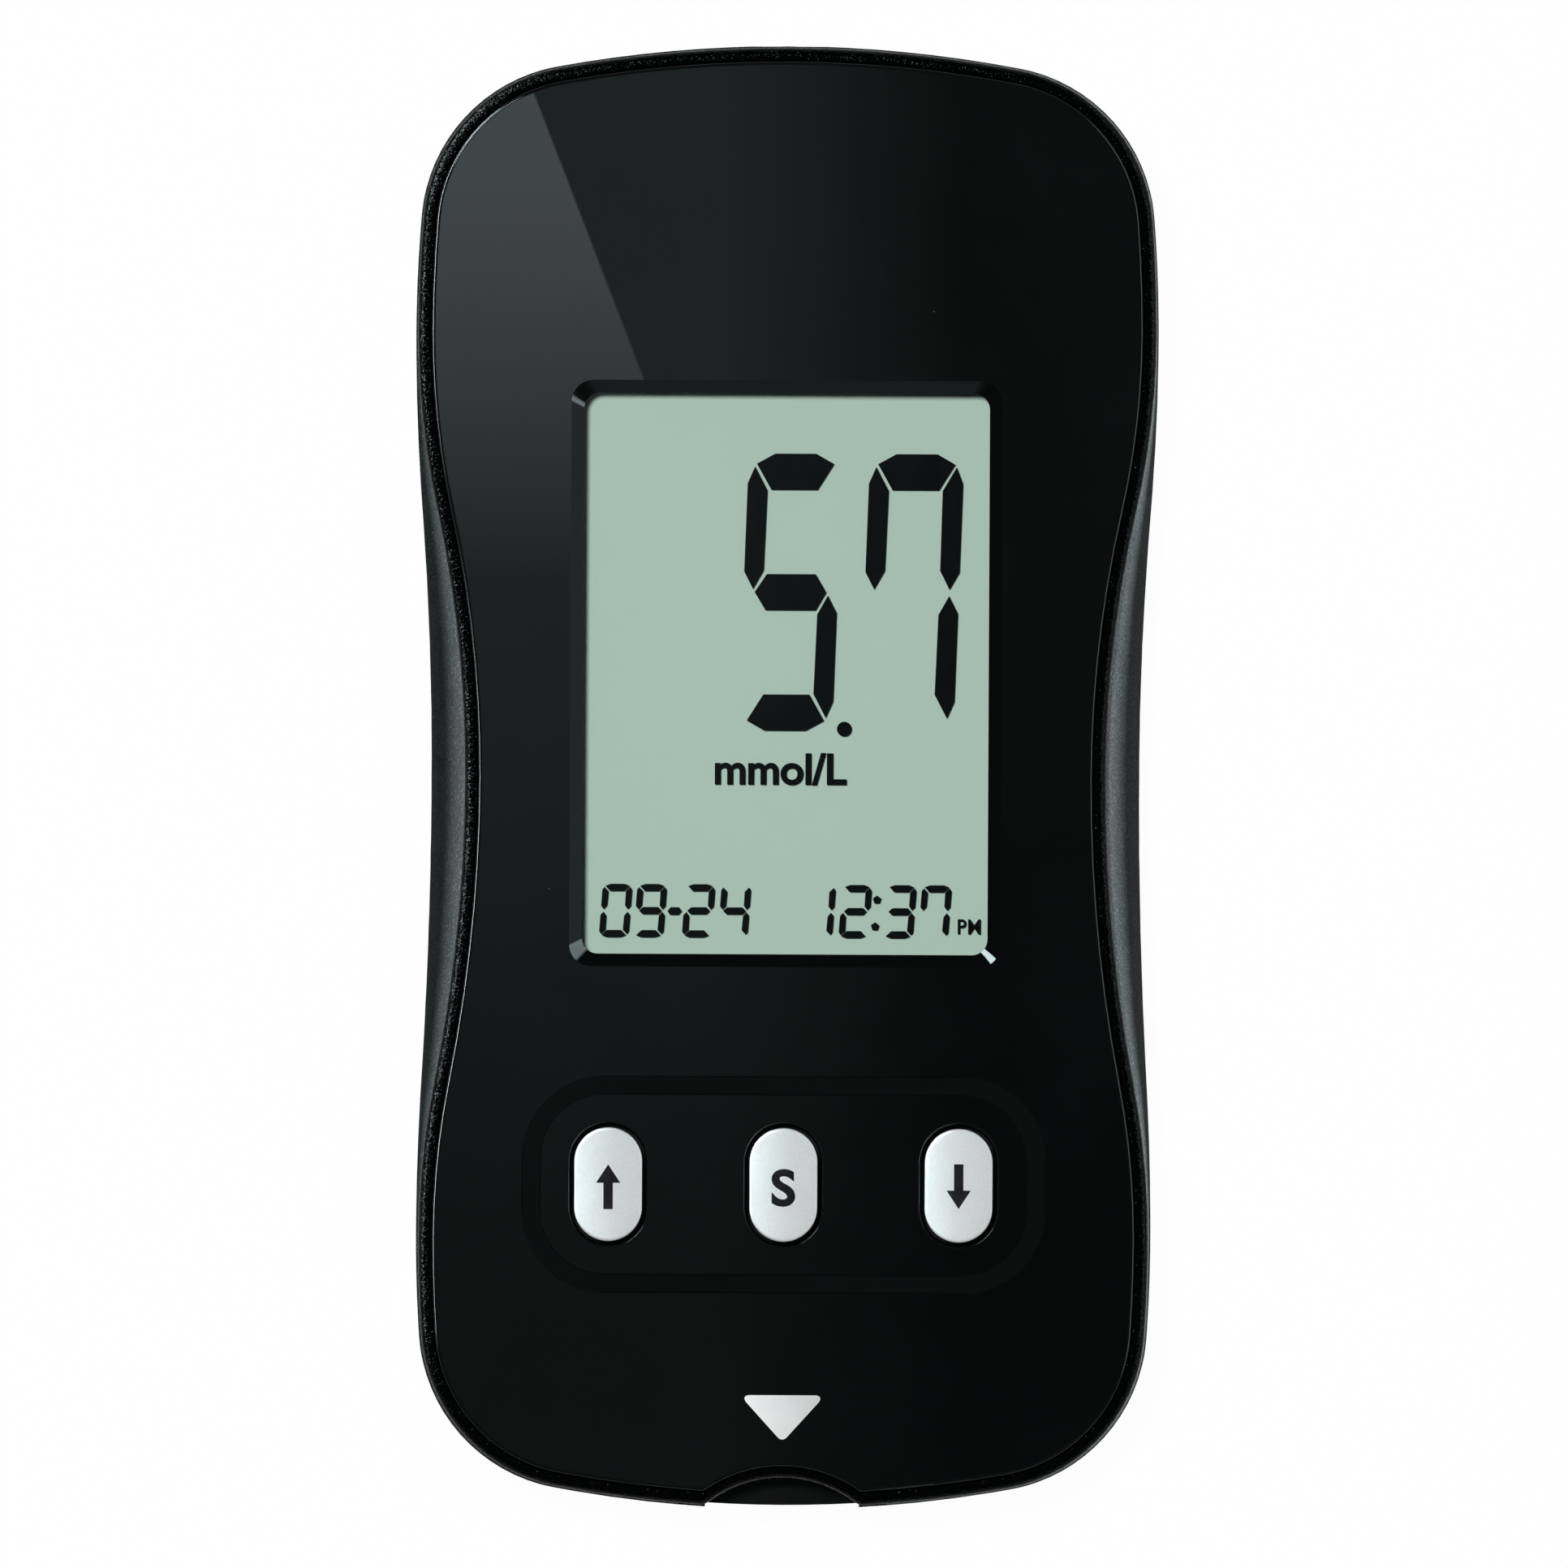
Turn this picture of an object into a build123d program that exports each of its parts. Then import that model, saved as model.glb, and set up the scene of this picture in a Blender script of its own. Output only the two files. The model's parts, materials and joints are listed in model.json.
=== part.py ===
from build123d import *
import os
from dataclasses import dataclass
from math import sqrt

# Pocket blood glucose meter lying on its back, in millimetres.
# +Z comes out of the display, +Y points to the end with the data socket, -Y to the strip port.
# The origin is on the resting face, at the middle of the outline.
# Two housings close on a circuit board. A glossy panel lies in a tray in the front housing.
# Three keys travel in the panel, and a battery cover slides off the back past the +Y end.

# ---------------------------------------------------------------- driving dimensions
# The outline is waisted. Its half width is largest near the +Y end, the girth is the widest level
# of the rear housing, and the rim of the front housing is set back from it, most at the waist.
half_length, half_width = 46.5, 23.6
lower_trim, waist_trim = 0.25, 1.1
end_setback, upper_setback, lower_setback, waist_setback = 0.25, 0.2, 0.23, 2.2
upper_y, lower_y = 28.2, -29.2
crown_radius = 80.0
corner_radius = 10.5
side_radius = 90.0
upper_bend_share = 0.60
lower_bend_share = 0.66

# Walls and gaps.
wall, skin = 1.6, 0.8
gap = 0.1
slip = 0.02

# What lies on what, from the resting face up.
cover_face_z, cover_thickness = 0.1, 1.25
coin_radius, coin_thickness, coin_seat = 10.0, 3.2, 0.25
spring_room, bay_roof, board_gap = 0.6, 0.8, 0.4
board_thickness, board_room = 1.0, 4.4
tray_thickness, panel_thickness = 1.4, 1.2
rim_step, key_rise = 0.25, 0.4

# Rear housing.
back_round = 4.5
shoulder_height, shoulder_roundness = 5.0, 0.93
tongue_depth = 1.1

# Front panel, and what opens in it.
rim_width, arch_rim_width = 0.85, 0.72
panel_edge_round, rim_round = 0.25, 0.6
window_width, window_length, window_y = 25.7, 35.55, 6.58
window_corner = 1.0
bevel_width, bevel_depth = 0.8, 0.7
well_side, well_end, well_corner = 3.17, 3.1, 5.1
well_slope, well_depth, well_round = 0.85, 0.33, 1.0

# Clear window, gasket and display cell.
lens_margin, lens_thickness, lens_corner = 1.15, 1.0, 1.2
gasket_margin, gasket_width = 0.35, 0.7
cell_side, cell_end, cell_gap = 1.65, 2.15, 0.15
film_thickness, glass_thickness, reflector_thickness = 0.15, 0.55, 0.2
ledge = 1.5
zebra_width, zebra_inset = 1.2, 1.0
holder_wall, holder_floor, holder_pin_radius = 1.6, 1.0, 0.75
holder_rail, holder_brim = 4.0, 2.5

# Keys: a cap, a silicone plunger with a carbon pill, and a thin web that gives the return force.
key_names = ("up", "select", "down")
key_width, key_length = 4.3, 7.2
key_pitch, key_y = 11.1, -25.8
key_travel = 0.8
key_slot_gap, key_slot_round, key_guide_gap = 0.3, 0.12, 0.2
key_flange, key_flange_thickness = 0.75, 0.5
key_crown_radius, key_edge_round = 8.0, 0.18
pill_radius, pill_thickness = 1.5, 0.4
mat_side, mat_end, mat_corner, mat_thickness = 2.75, 2.1, 1.0, 0.8
plunger_inset = 0.05
web_thickness, web_rise, web_spread = 0.4, 1.2, 0.8

# Strip port, from the -Y end inwards.
arch_radius, arch_inset, arch_tip_round, arch_inner_round = 7.75, 2.15, 0.75, 0.15
port_recess, port_half_width = 0.3, 4.9
guide_half_width, guide_length = 6.5, 5.3
slot_width, slot_height, slot_rise = 8.4, 1.0, 1.3
funnel_flare, funnel_length = 0.5, 1.5
connector_half_width, connector_length, connector_height = 5.6, 7.7, 3.3
connector_entry, connector_roof, connector_lip = 7.6, 0.5, 1.5
strip_reach = 6.1
contact_count, contact_pitch, contact_width, contact_thickness = 6, 1.1, 0.5, 0.2
contact_groove, contact_tail, contact_bend = 0.7, 1.35, 0.22
contact_arm, contact_dip, contact_toe = 0.8, 2.4, 1.0

# Data socket for a 3.5 mm plug, in the +Y end.
socket_radius, socket_depth, socket_nose_radius = 1.8, 14.5, 2.3
socket_rise, socket_face_inset = 1.1, 0.25
socket_width, socket_length, socket_chamfer = 6.8, 13.8, 0.5
leg_count, leg_pitch, leg_width, leg_reach, leg_thickness = 3, 4.2, 1.2, 1.3, 0.2

# Coin cells in line along Y, with a finger on each small cap and a bowed leaf on each rim.
coin_names = ("lower", "upper")
coin_end_room, coin_gap = 15.4, 0.6
coin_cap_radius, coin_cap_step, coin_round = 8.9, 0.25, 0.3
bay_gap, bay_wall = 0.25, 1.9
gangway_width, clip_room = 16.0, 7.2
spring_width, spring_leg, spring_root, spring_toe = 4.0, 5.0, 3.0, 1.5
clip_height, clip_length, clip_leg_width, clip_lift = 2.0, 6.0, 0.9, 0.6

# Battery cover, which slides along +Y in two undercut grooves.
cover_side, cover_overlap = 1.0, 3.1
runner_width, runner_lift = 0.9, 0.65
cover_lip, cover_lip_height = 1.8, 3.8
groove_wall, groove_height = 1.8, 2.7
latch_half_width, latch_length, latch_slot = 4.0, 7.0, 0.6
catch_inset, catch_length, catch_height = 3.2, 1.4, 0.15
ridge_count, ridge_pitch, ridge_width, ridge_length, ridge_depth = 5, 1.5, 0.7, 9.0, 0.35
ridge_end_room = 12.0

# Screws: four through the back, placed from the corners of the outline, and two that hold the board.
lower_screw_inset, upper_screw_inset = (8.1, 10.5), (7.4, 13.0)
board_screw_inset, board_screw_y = 6.0, -17.5
case_screw_radius, case_head_radius, case_head_height, case_seat_z = 0.95, 1.9, 1.3, 2.6
board_screw_radius, board_head_radius, board_head_height = 0.8, 1.5, 0.8
screw_end_room, screw_hole_gap = 1.0, 0.2
rear_boss_radius, front_boss_radius, board_boss_radius = 3.0, 2.3, 1.65
drive_slot_width, drive_slot_depth, drive_slot_share = 0.5, 0.6, 0.65

# What is soldered under the board.
board_inset = 2.5
chip_height, chip_standoff, chip_chamfer = 1.2, 0.1, 0.15
chip_leg_reach, chip_leg_width, chip_leg_thickness = 1.0, 0.3, 0.2
main_chip_place, main_chip_size, main_chip_legs = (0, -12.0), 9.0, 12
memory_chip_place, memory_chip_size, memory_chip_legs = (-11.5, -10.5), 5.0, 4
crystal_place, crystal_width, crystal_length, crystal_height = (9.5, -10.5), 3.2, 8.0, 1.8
buzzer_place, buzzer_radius, buzzer_height, buzzer_hole = (-11.0, -26.0), 5.5, 2.6, 1.0
capacitor_length, capacitor_width, capacitor_height = 1.6, 0.8, 0.7
capacitor_rows = ((-37.0, (-6, -3, 0, 3, 6)), (-39.0, (-6, -3, 0, 3, 6)), (-31.0, (2, 5)), (-21.0, (9, 13)))

# Values that follow from the driving dimensions.
cover_inner_z = cover_face_z + cover_thickness
coin_z = cover_inner_z + coin_seat
coin_top_z = coin_z + coin_thickness
bay_ceiling_z = coin_top_z + spring_room
board_z = bay_ceiling_z + bay_roof + board_gap
board_top_z = board_z + board_thickness
parting_z = board_top_z + board_room
shoulder_z = parting_z - shoulder_height
tray_z = parting_z + tray_thickness
panel_top_z = tray_z + panel_thickness
rim_top_z = panel_top_z - rim_step
key_top_z = panel_top_z + key_rise
screw_top_z = parting_z - screw_end_room

well_width = 2 * key_pitch + key_width + 2 * well_side
well_length = key_length + 2 * well_end
lens_width, lens_length = window_width + 2 * lens_margin, window_length + 2 * lens_margin
lens_top_z = tray_z - slip
lens_z = lens_top_z - lens_thickness
cell_top_z = parting_z - cell_gap
front_glass_top_z = cell_top_z - film_thickness
front_glass_z = front_glass_top_z - glass_thickness
rear_glass_z = front_glass_z - glass_thickness
reflector_z = rear_glass_z - reflector_thickness
cell_half_width, cell_half_length = window_width / 2 + cell_side, window_length / 2 + cell_end
zebra_half_length = cell_half_width - zebra_inset

key_flange_top_z = parting_z - gap
key_flange_z = key_flange_top_z - key_flange_thickness
mat_width = 2 * key_pitch + key_width + 2 * mat_side
mat_length = key_length + 2 * mat_end
mat_top_z = board_top_z + mat_thickness
pill_z = board_top_z + key_travel + gap
plunger_z = pill_z + pill_thickness

arch_top_y = arch_inset - half_length
arch_centre_y = arch_top_y - arch_radius
guide_inner_y = guide_length - half_length
slot_z = board_top_z + slot_rise
connector_y = guide_inner_y + gap
connector_back_y = connector_y + connector_length
connector_top_z = board_top_z + connector_height
strip_stop_y = connector_y + strip_reach
contact_places = [contact_pitch * (i - (contact_count - 1) / 2) for i in range(contact_count)]

socket_z = board_top_z + socket_rise
socket_face_y = half_length - socket_face_inset
socket_front_y = half_length - end_setback - wall
socket_back_y = socket_front_y - socket_length

coin_high_y = half_length - coin_end_room
coin_low_y = coin_high_y - 2 * coin_radius - coin_gap
bay_low_y = coin_low_y - coin_radius - bay_gap
bay_half_width = coin_radius + bay_wall
clip_root_x = coin_radius + bay_wall / 2
cover_half_width = coin_radius + cover_side
cover_start_y = bay_low_y - cover_overlap + bay_gap
cover_lip_y = half_length - cover_lip
runner_z = cover_face_z + runner_lift
groove_half_width = cover_half_width + runner_width + gap + groove_wall


# ---------------------------------------------------------------- outlines
@dataclass
class Outline:
    """One waisted outline, and how far it lies inside the curve that the radii are given for."""

    waist: float
    upper: float
    lower: float
    end: float
    inside: float = 0.0


girth = Outline(half_width - waist_trim, half_width, half_width - lower_trim, half_length)
rim = Outline(
    girth.waist - waist_setback,
    girth.upper - upper_setback,
    girth.lower - lower_setback,
    girth.end - end_setback,
)


def inset(outline, distance):
    """The parallel outline that lies distance further in."""
    return Outline(
        outline.waist - distance,
        outline.upper - distance,
        outline.lower - distance,
        outline.end - distance,
        outline.inside + distance,
    )


def between(inner, outer, share):
    """The outline that lies share of the way from inner to outer."""
    return Outline(
        inner.waist + (outer.waist - inner.waist) * share,
        inner.upper + (outer.upper - inner.upper) * share,
        inner.lower + (outer.lower - inner.lower) * share,
        inner.end + (outer.end - inner.end) * share,
        inner.inside + (outer.inside - inner.inside) * share,
    )


def arc_about(centre, start, end):
    """Start, middle and end points of the shorter arc about centre."""
    radius = (start - centre).length
    middle = (start + end) * 0.5 - centre
    return start, centre + middle.normalized() * radius, end


def meeting_point(centre_a, radius_a, centre_b, radius_b):
    """Of the two points where these circles cross, the one at the larger X."""
    apart = (centre_b - centre_a).length
    along = (centre_b - centre_a) * (1 / apart)
    reach = (radius_a**2 - radius_b**2 + apart**2) / (2 * apart)
    foot = centre_a + along * reach
    across = Vector(-along.Y, along.X) * sqrt(radius_a**2 - reach**2)
    return max(foot + across, foot - across, key=lambda point: point.X)


def end_arcs(outline, widest_x, widest_y, end_y):
    """Arcs from the widest place round the corner to the middle of an end."""
    outwards = 1 if end_y > widest_y else -1
    side, crown, corner = (r - outline.inside for r in (side_radius, crown_radius, corner_radius))
    side_centre = Vector(widest_x - side, widest_y)
    crown_centre = Vector(0, end_y - outwards * crown)
    corner_centre = meeting_point(side_centre, side - corner, crown_centre, crown - corner)
    on_side = side_centre + (corner_centre - side_centre).normalized() * side
    on_crown = crown_centre + (corner_centre - crown_centre).normalized() * crown
    return [
        arc_about(side_centre, Vector(widest_x, widest_y), on_side),
        arc_about(corner_centre, on_side, on_crown),
        arc_about(crown_centre, on_crown, Vector(0, end_y)),
    ]


def waist_arcs(outline, widest_x, widest_y, bend_share):
    """A hollow arc and a full one that join the waist to a widest place, upright at both ends."""
    start, finish = Vector(outline.waist, 0), Vector(widest_x, widest_y)
    across = widest_x - outline.waist
    both_radii = (across**2 + widest_y**2) / (2 * across)
    hollow_centre = start + Vector(both_radii * bend_share, 0)
    full_centre = finish - Vector(both_radii * (1 - bend_share), 0)
    turn = start + (finish - start) * bend_share
    return [arc_about(hollow_centre, start, turn), arc_about(full_centre, turn, finish)]


def backwards(arcs):
    return [(end, middle, start) for start, middle, end in reversed(arcs)]


def outline_wire(outline, z=0.0):
    """The closed outline at height z, as tangent arcs that run once round from the -Y end."""
    low_end = end_arcs(outline, outline.lower, lower_y, -outline.end)
    low_waist = waist_arcs(outline, outline.lower, lower_y, lower_bend_share)
    high_waist = waist_arcs(outline, outline.upper, upper_y, upper_bend_share)
    high_end = end_arcs(outline, outline.upper, upper_y, outline.end)
    right = backwards(low_end) + backwards(low_waist) + high_waist + high_end
    left = backwards([tuple(Vector(-p.X, p.Y) for p in arc) for arc in right])
    return Wire([ThreePointArc(*arc) for arc in right + left]).moved(Location((0, 0, z)))


def outline_face(outline):
    return Face(outline_wire(outline))


def notched_face(outline, setback=0.0):
    """The outline with the strip port's arch cut out of its -Y end, with rounded tips."""
    radius, centre = arch_radius + setback, Vector(0, arch_centre_y)
    face = Sketch() + outline_face(outline) - Pos(centre) * Circle(radius)
    tips = [v for v in face.vertices() if abs((Vector(*v) - centre).length - radius) < slip]
    return fillet(tips, max(arch_tip_round - setback, arch_inner_round))


# ---------------------------------------------------------------- small helpers
def prism(shape, low_z, high_z):
    """A flat shape drawn out between two heights."""
    return extrude(Pos(0, 0, low_z) * shape, high_z - low_z, dir=(0, 0, 1))


def block(low_x, high_x, low_y, high_y, low_z, high_z):
    centre = ((low_x + high_x) / 2, (low_y + high_y) / 2, (low_z + high_z) / 2)
    return Pos(*centre) * Box(high_x - low_x, high_y - low_y, high_z - low_z)


def middle_block(half, low_y, high_y, low_z, high_z):
    """A block that lies evenly across the YZ plane."""
    return block(-half, half, low_y, high_y, low_z, high_z)


def post(point, radius, low_z, high_z):
    return Pos(point[0], point[1], (low_z + high_z) / 2) * Cylinder(radius, high_z - low_z)


def frustum(low_shape, low_z, high_shape, high_z):
    """A solid with straight walls between two flat shapes."""
    return loft([Pos(0, 0, low_z) * low_shape, Pos(0, 0, high_z) * high_shape], ruled=True)


def both_sides(point):
    """The point and its mirror image across the YZ plane."""
    return [point, (-point[0], point[1])]


def stadium(width, length):
    return SlotOverall(length, width, rotation=90)


def edges_within(part, room):
    """The part's edges that lie inside the block called room."""
    return part.edges().filter_by(lambda edge: all(room.is_inside(edge @ at) for at in (0, 0.5, 1)))


def bottom_edges(part):
    return part.faces().sort_by(Axis.Z)[0].edges()


def top_edges(part):
    return part.faces().sort_by(Axis.Z)[-1].edges()


def together(shapes):
    """Separate solids kept in one node."""
    return Compound(children=[solid for shape in shapes for solid in shape.solids()])


key_places = {name: Pos(key_pitch * (i - 1), key_y, 0) for i, name in enumerate(key_names)}
coin_places = dict(zip(coin_names, (coin_low_y, coin_high_y)))
lens_place = Pos(0, window_y, 0)
case_screw_places = both_sides((half_width - lower_screw_inset[0], lower_screw_inset[1] - half_length))
case_screw_places += both_sides((half_width - upper_screw_inset[0], half_length - upper_screw_inset[1]))
board_screw_places = both_sides((half_width - board_screw_inset, board_screw_y))


# ---------------------------------------------------------------- front of the case
def front_housing():
    """The rim, the tray that carries the panel, a tongue into the back, and the screw pillars."""
    shell = prism(notched_face(rim), parting_z, rim_top_z)
    shell = fillet(top_edges(shell), rim_round)
    shell -= prism(notched_face(inset(rim, rim_width - gap), arch_rim_width - gap), tray_z, panel_top_z)

    ring = outline_face(inset(rim, skin + gap)) - outline_face(inset(rim, wall - gap))
    tongue = prism(Sketch() + ring, parting_z - tongue_depth, parting_z)
    tongue -= middle_block(guide_half_width + gap, -half_length, guide_inner_y, board_z, parting_z)
    socket_room = socket_width / 2 + gap
    tongue -= middle_block(socket_room, upper_y, half_length, board_z, parting_z)
    shell += tongue

    for point in case_screw_places:
        shell += post(point, front_boss_radius, board_top_z, parting_z)
        shell -= post(point, case_screw_radius + slip / 2, board_top_z, screw_top_z + gap)
    for point in board_screw_places:
        shell += post(point, board_boss_radius, board_top_z, parting_z)
        shell -= post(point, board_screw_radius + slip / 2, board_top_z, screw_top_z + gap)

    lens_hole = RectangleRounded(lens_width + 2 * gap, lens_length + 2 * gap, lens_corner + gap)
    shell -= lens_place * prism(lens_hole, parting_z, tray_z)
    key_hole = stadium(key_width + 2 * key_guide_gap, key_length + 2 * key_guide_gap)
    for place in key_places.values():
        shell -= place * prism(key_hole, parting_z, tray_z)
    return shell


def front_panel():
    """The glossy panel: a bevelled display aperture, a dished key well and three key slots."""
    plate = prism(notched_face(inset(rim, rim_width), arch_rim_width), tray_z, panel_top_z)
    plate = fillet(top_edges(plate), panel_edge_round)

    bevel_z = panel_top_z - bevel_depth
    opening = RectangleRounded(window_width, window_length, window_corner)
    mouth = RectangleRounded(
        window_width + 2 * bevel_width, window_length + 2 * bevel_width, window_corner + bevel_width / 2
    )
    plate -= lens_place * prism(opening, tray_z, bevel_z)
    plate -= lens_place * frustum(opening, bevel_z, mouth, panel_top_z)

    well_z = panel_top_z - well_depth
    well_mouth = RectangleRounded(well_width, well_length, well_corner)
    well_floor = RectangleRounded(
        well_width - 2 * well_slope, well_length - 2 * well_slope, well_corner - well_slope
    )
    plate -= Pos(0, key_y, 0) * frustum(well_floor, well_z, well_mouth, panel_top_z)
    for z in (well_z, panel_top_z):
        around_well = Pos(0, key_y, z) * Box(well_width + gap, well_length + gap, gap)
        plate = fillet(edges_within(plate, around_well), well_round)

    key_slot_width, key_slot_length = key_width + 2 * key_slot_gap, key_length + 2 * key_slot_gap
    for place in key_places.values():
        plate -= place * prism(stadium(key_slot_width, key_slot_length), tray_z, panel_top_z)
        around_slot = place * Pos(0, 0, well_z) * Box(key_slot_width + gap, key_slot_length + gap, gap)
        plate = fillet(edges_within(plate, around_slot), key_slot_round)
    return plate


def display_window():
    return lens_place * prism(RectangleRounded(lens_width, lens_length, lens_corner), lens_z, lens_top_z)


def display_gasket():
    reach = gasket_margin + gasket_width
    inner = Rectangle(window_width + 2 * gasket_margin, window_length + 2 * gasket_margin)
    outer = RectangleRounded(window_width + 2 * reach, window_length + 2 * reach, lens_corner)
    return lens_place * prism(outer - inner, cell_top_z, lens_z)


# ---------------------------------------------------------------- display
def cell_layer(end_inset, low_z, high_z):
    reach = cell_half_length - end_inset
    return middle_block(cell_half_width, window_y - reach, window_y + reach, low_z, high_z)


def display_cell():
    """The films and glasses, from the front down. The front glass overhangs for the zebra strips."""
    return {
        "lcd_front_film": cell_layer(ledge, front_glass_top_z, cell_top_z),
        "lcd_front_glass": cell_layer(0, front_glass_z, front_glass_top_z),
        "lcd_rear_glass": cell_layer(ledge, rear_glass_z, front_glass_z),
        "lcd_reflector": cell_layer(ledge, reflector_z, rear_glass_z),
    }


def zebra_places():
    reach = cell_half_length - ledge / 2
    return {"zebra_strip_lower": window_y - reach, "zebra_strip_upper": window_y + reach}


def zebra_block(y, clearance, high_z):
    half, reach = zebra_half_length + clearance, zebra_width / 2 + clearance
    return middle_block(half, y - reach, y + reach, board_top_z, high_z)


def holder_pin_places():
    """Two locating pins under opposite corners of the display holder."""
    x, y = cell_half_width + holder_wall / 2, cell_half_length + holder_wall / 2
    return [(-x, window_y - y), (x, window_y + y)]


def lcd_holder():
    """A frame that stands on the board and carries the display cell and the zebra strips."""
    half, reach = cell_half_width + gap, cell_half_length + gap

    def pocket(inset_x, inset_y, low_z, high_z):
        low_y, high_y = window_y - reach + inset_y, window_y + reach - inset_y
        return middle_block(half - inset_x, low_y, high_y, low_z, high_z)

    frame = pocket(-holder_wall, -holder_wall, board_top_z, front_glass_top_z)
    frame -= pocket(0, 0, reflector_z, front_glass_top_z)
    frame -= pocket(0, holder_rail, board_top_z, reflector_z - holder_floor)
    frame -= pocket(holder_brim, holder_rail + holder_brim, board_top_z, reflector_z)
    for y in zebra_places().values():
        frame -= zebra_block(y, gap, reflector_z)
    for point in holder_pin_places():
        frame += post(point, holder_pin_radius, board_z + gap, board_top_z)
    return frame


# ---------------------------------------------------------------- circuit board
def main_board():
    board = prism(outline_face(inset(girth, board_inset)), board_z, board_top_z)
    holes = [(point, case_screw_radius + screw_hole_gap) for point in case_screw_places]
    holes += [(point, board_screw_radius + screw_hole_gap) for point in board_screw_places]
    holes += [(point, holder_pin_radius + gap) for point in holder_pin_places()]
    for point, radius in holes:
        board -= post(point, radius, board_z, board_top_z)
    half = socket_width / 2 + gap
    return board - middle_block(half, socket_back_y - gap, half_length, board_z, board_top_z)


def chip(place, size, legs_per_side):
    """A square package under the board with legs on all four sides, each a solid of its own."""
    body = Pos(place[0], place[1], board_z - (chip_height + chip_standoff) / 2) * Box(
        size, size, chip_height - chip_standoff
    )
    body = chamfer(bottom_edges(body), chip_chamfer)
    leg = block(
        size / 2, size / 2 + chip_leg_reach, -chip_leg_width / 2, chip_leg_width / 2,
        board_z - chip_leg_thickness, board_z,
    )
    pitch = size / (legs_per_side + 1)
    legs = [
        Pos(*place) * Rot(0, 0, 90 * side) * Pos(0, pitch * (i - (legs_per_side - 1) / 2)) * leg
        for side in range(4)
        for i in range(legs_per_side)
    ]
    return together([body] + legs)


def crystal_can():
    can = Pos(*crystal_place, board_z - crystal_height / 2) * Box(
        crystal_width, crystal_length, crystal_height
    )
    return fillet(can.edges().filter_by(Axis.Z), crystal_width / 2 - gap)


def buzzer():
    """A flat sounder under the board, with a sound hole in its face."""
    low_z = board_z - buzzer_height
    can = post(buzzer_place, buzzer_radius, low_z, board_z)
    can = chamfer(bottom_edges(can), coin_round)
    return can - post(buzzer_place, buzzer_hole, low_z, low_z + buzzer_hole)


def board_capacitors():
    part = Pos(0, 0, board_z - capacitor_height / 2) * Box(
        capacitor_length, capacitor_width, capacitor_height
    )
    return together([Pos(x, y) * part for y, row in capacitor_rows for x in row])


# ---------------------------------------------------------------- data socket
def lying_cylinder(radius, low_y, high_y, z):
    return Pos(0, (low_y + high_y) / 2, z) * Rot(90, 0, 0) * Cylinder(radius, high_y - low_y)


def data_socket():
    """A socket set into a cut-out of the board, with a nose that fills the hole in the case."""
    low_z, high_z = socket_z - socket_nose_radius, socket_z + socket_nose_radius
    body = middle_block(socket_width / 2, socket_back_y, socket_front_y, low_z, high_z)
    body = chamfer(body.edges().filter_by(Axis.Y), socket_chamfer)
    body += lying_cylinder(socket_nose_radius, socket_front_y - 1, socket_face_y, socket_z)
    return body - lying_cylinder(socket_radius, socket_face_y - socket_depth, socket_face_y, socket_z)


def socket_legs():
    """Three tinned legs on each side, which carry the socket on the board."""
    inner_x, top_z = socket_width / 2, board_top_z + leg_thickness
    first_y = (socket_back_y + socket_front_y) / 2 - leg_pitch * (leg_count - 1) / 2
    legs = []
    for i in range(leg_count):
        low_y = first_y + leg_pitch * i - leg_width / 2
        right = block(inner_x, inner_x + leg_reach, low_y, low_y + leg_width, board_top_z, top_z)
        legs += [right, mirror(right, Plane.YZ)]
    return together(legs)


# ---------------------------------------------------------------- strip port
def strip_guide():
    """The mouth of the strip port: a lip in front of the arch, and a slot behind it.

    The funnel opens upwards and sideways only, so that a strip slides in flat along the lip.
    """
    body = prism(outline_face(inset(girth, port_recess)), board_top_z, parting_z)
    body &= middle_block(guide_half_width, -half_length, guide_inner_y, board_top_z, parting_z)
    body -= post((0, arch_centre_y), arch_radius, slot_z, parting_z)
    body -= middle_block(slot_width / 2, -half_length, guide_inner_y, slot_z, slot_z + slot_height)
    flare = 2 * funnel_flare
    facing = Pos(0, arch_top_y, slot_z + slot_height / 2) * Rot(90, 0, 0)
    funnel = loft([
        facing * Rectangle(slot_width + flare, slot_height + flare),
        facing * Pos(0, 0, -funnel_length) * Rectangle(slot_width, slot_height),
    ])
    above_lip = middle_block(guide_half_width, -half_length, guide_inner_y, slot_z, parting_z)
    return body - (funnel & above_lip)


def strip_connector():
    """The plastic body behind the slot, with a groove in its roof for each contact."""
    body = middle_block(connector_half_width, connector_y, connector_back_y, board_top_z, connector_top_z)
    body = chamfer(top_edges(body), connector_roof / 2)
    body -= middle_block(connector_entry / 2, connector_y, strip_stop_y, slot_z, slot_z + slot_height)
    roof_z, half = connector_top_z - connector_roof, contact_groove / 2
    for x in contact_places:
        body -= block(x - half, x + half, connector_y + connector_lip, connector_back_y, slot_z, roof_z)
        low_y = connector_back_y - contact_arm - contact_thickness
        body -= block(x - half, x + half, low_y, connector_back_y, board_top_z, roof_z)
    return body


def strip_contacts():
    """Gilt leaves: a tail on the board, a riser, and an arm that dips to where the strip lies."""
    half = contact_thickness / 2
    roof_z = connector_top_z - connector_roof - half - slip
    riser_y, tail_z = connector_back_y - contact_arm / 2, board_top_z + half
    arm_y = strip_stop_y - contact_arm
    path = FilletPolyline(
        (riser_y + contact_tail, tail_z),
        (riser_y, tail_z),
        (riser_y, roof_z),
        (arm_y, roof_z),
        (arm_y - contact_dip, slot_z + slot_height / 2),
        (arm_y - contact_dip - contact_toe, slot_z + slot_height - half),
        radius=contact_bend,
    )
    leaf = extrude(Plane.YZ * trace(path, contact_thickness), contact_width / 2, both=True)
    return together([Pos(x, 0, 0) * leaf for x in contact_places])


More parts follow.
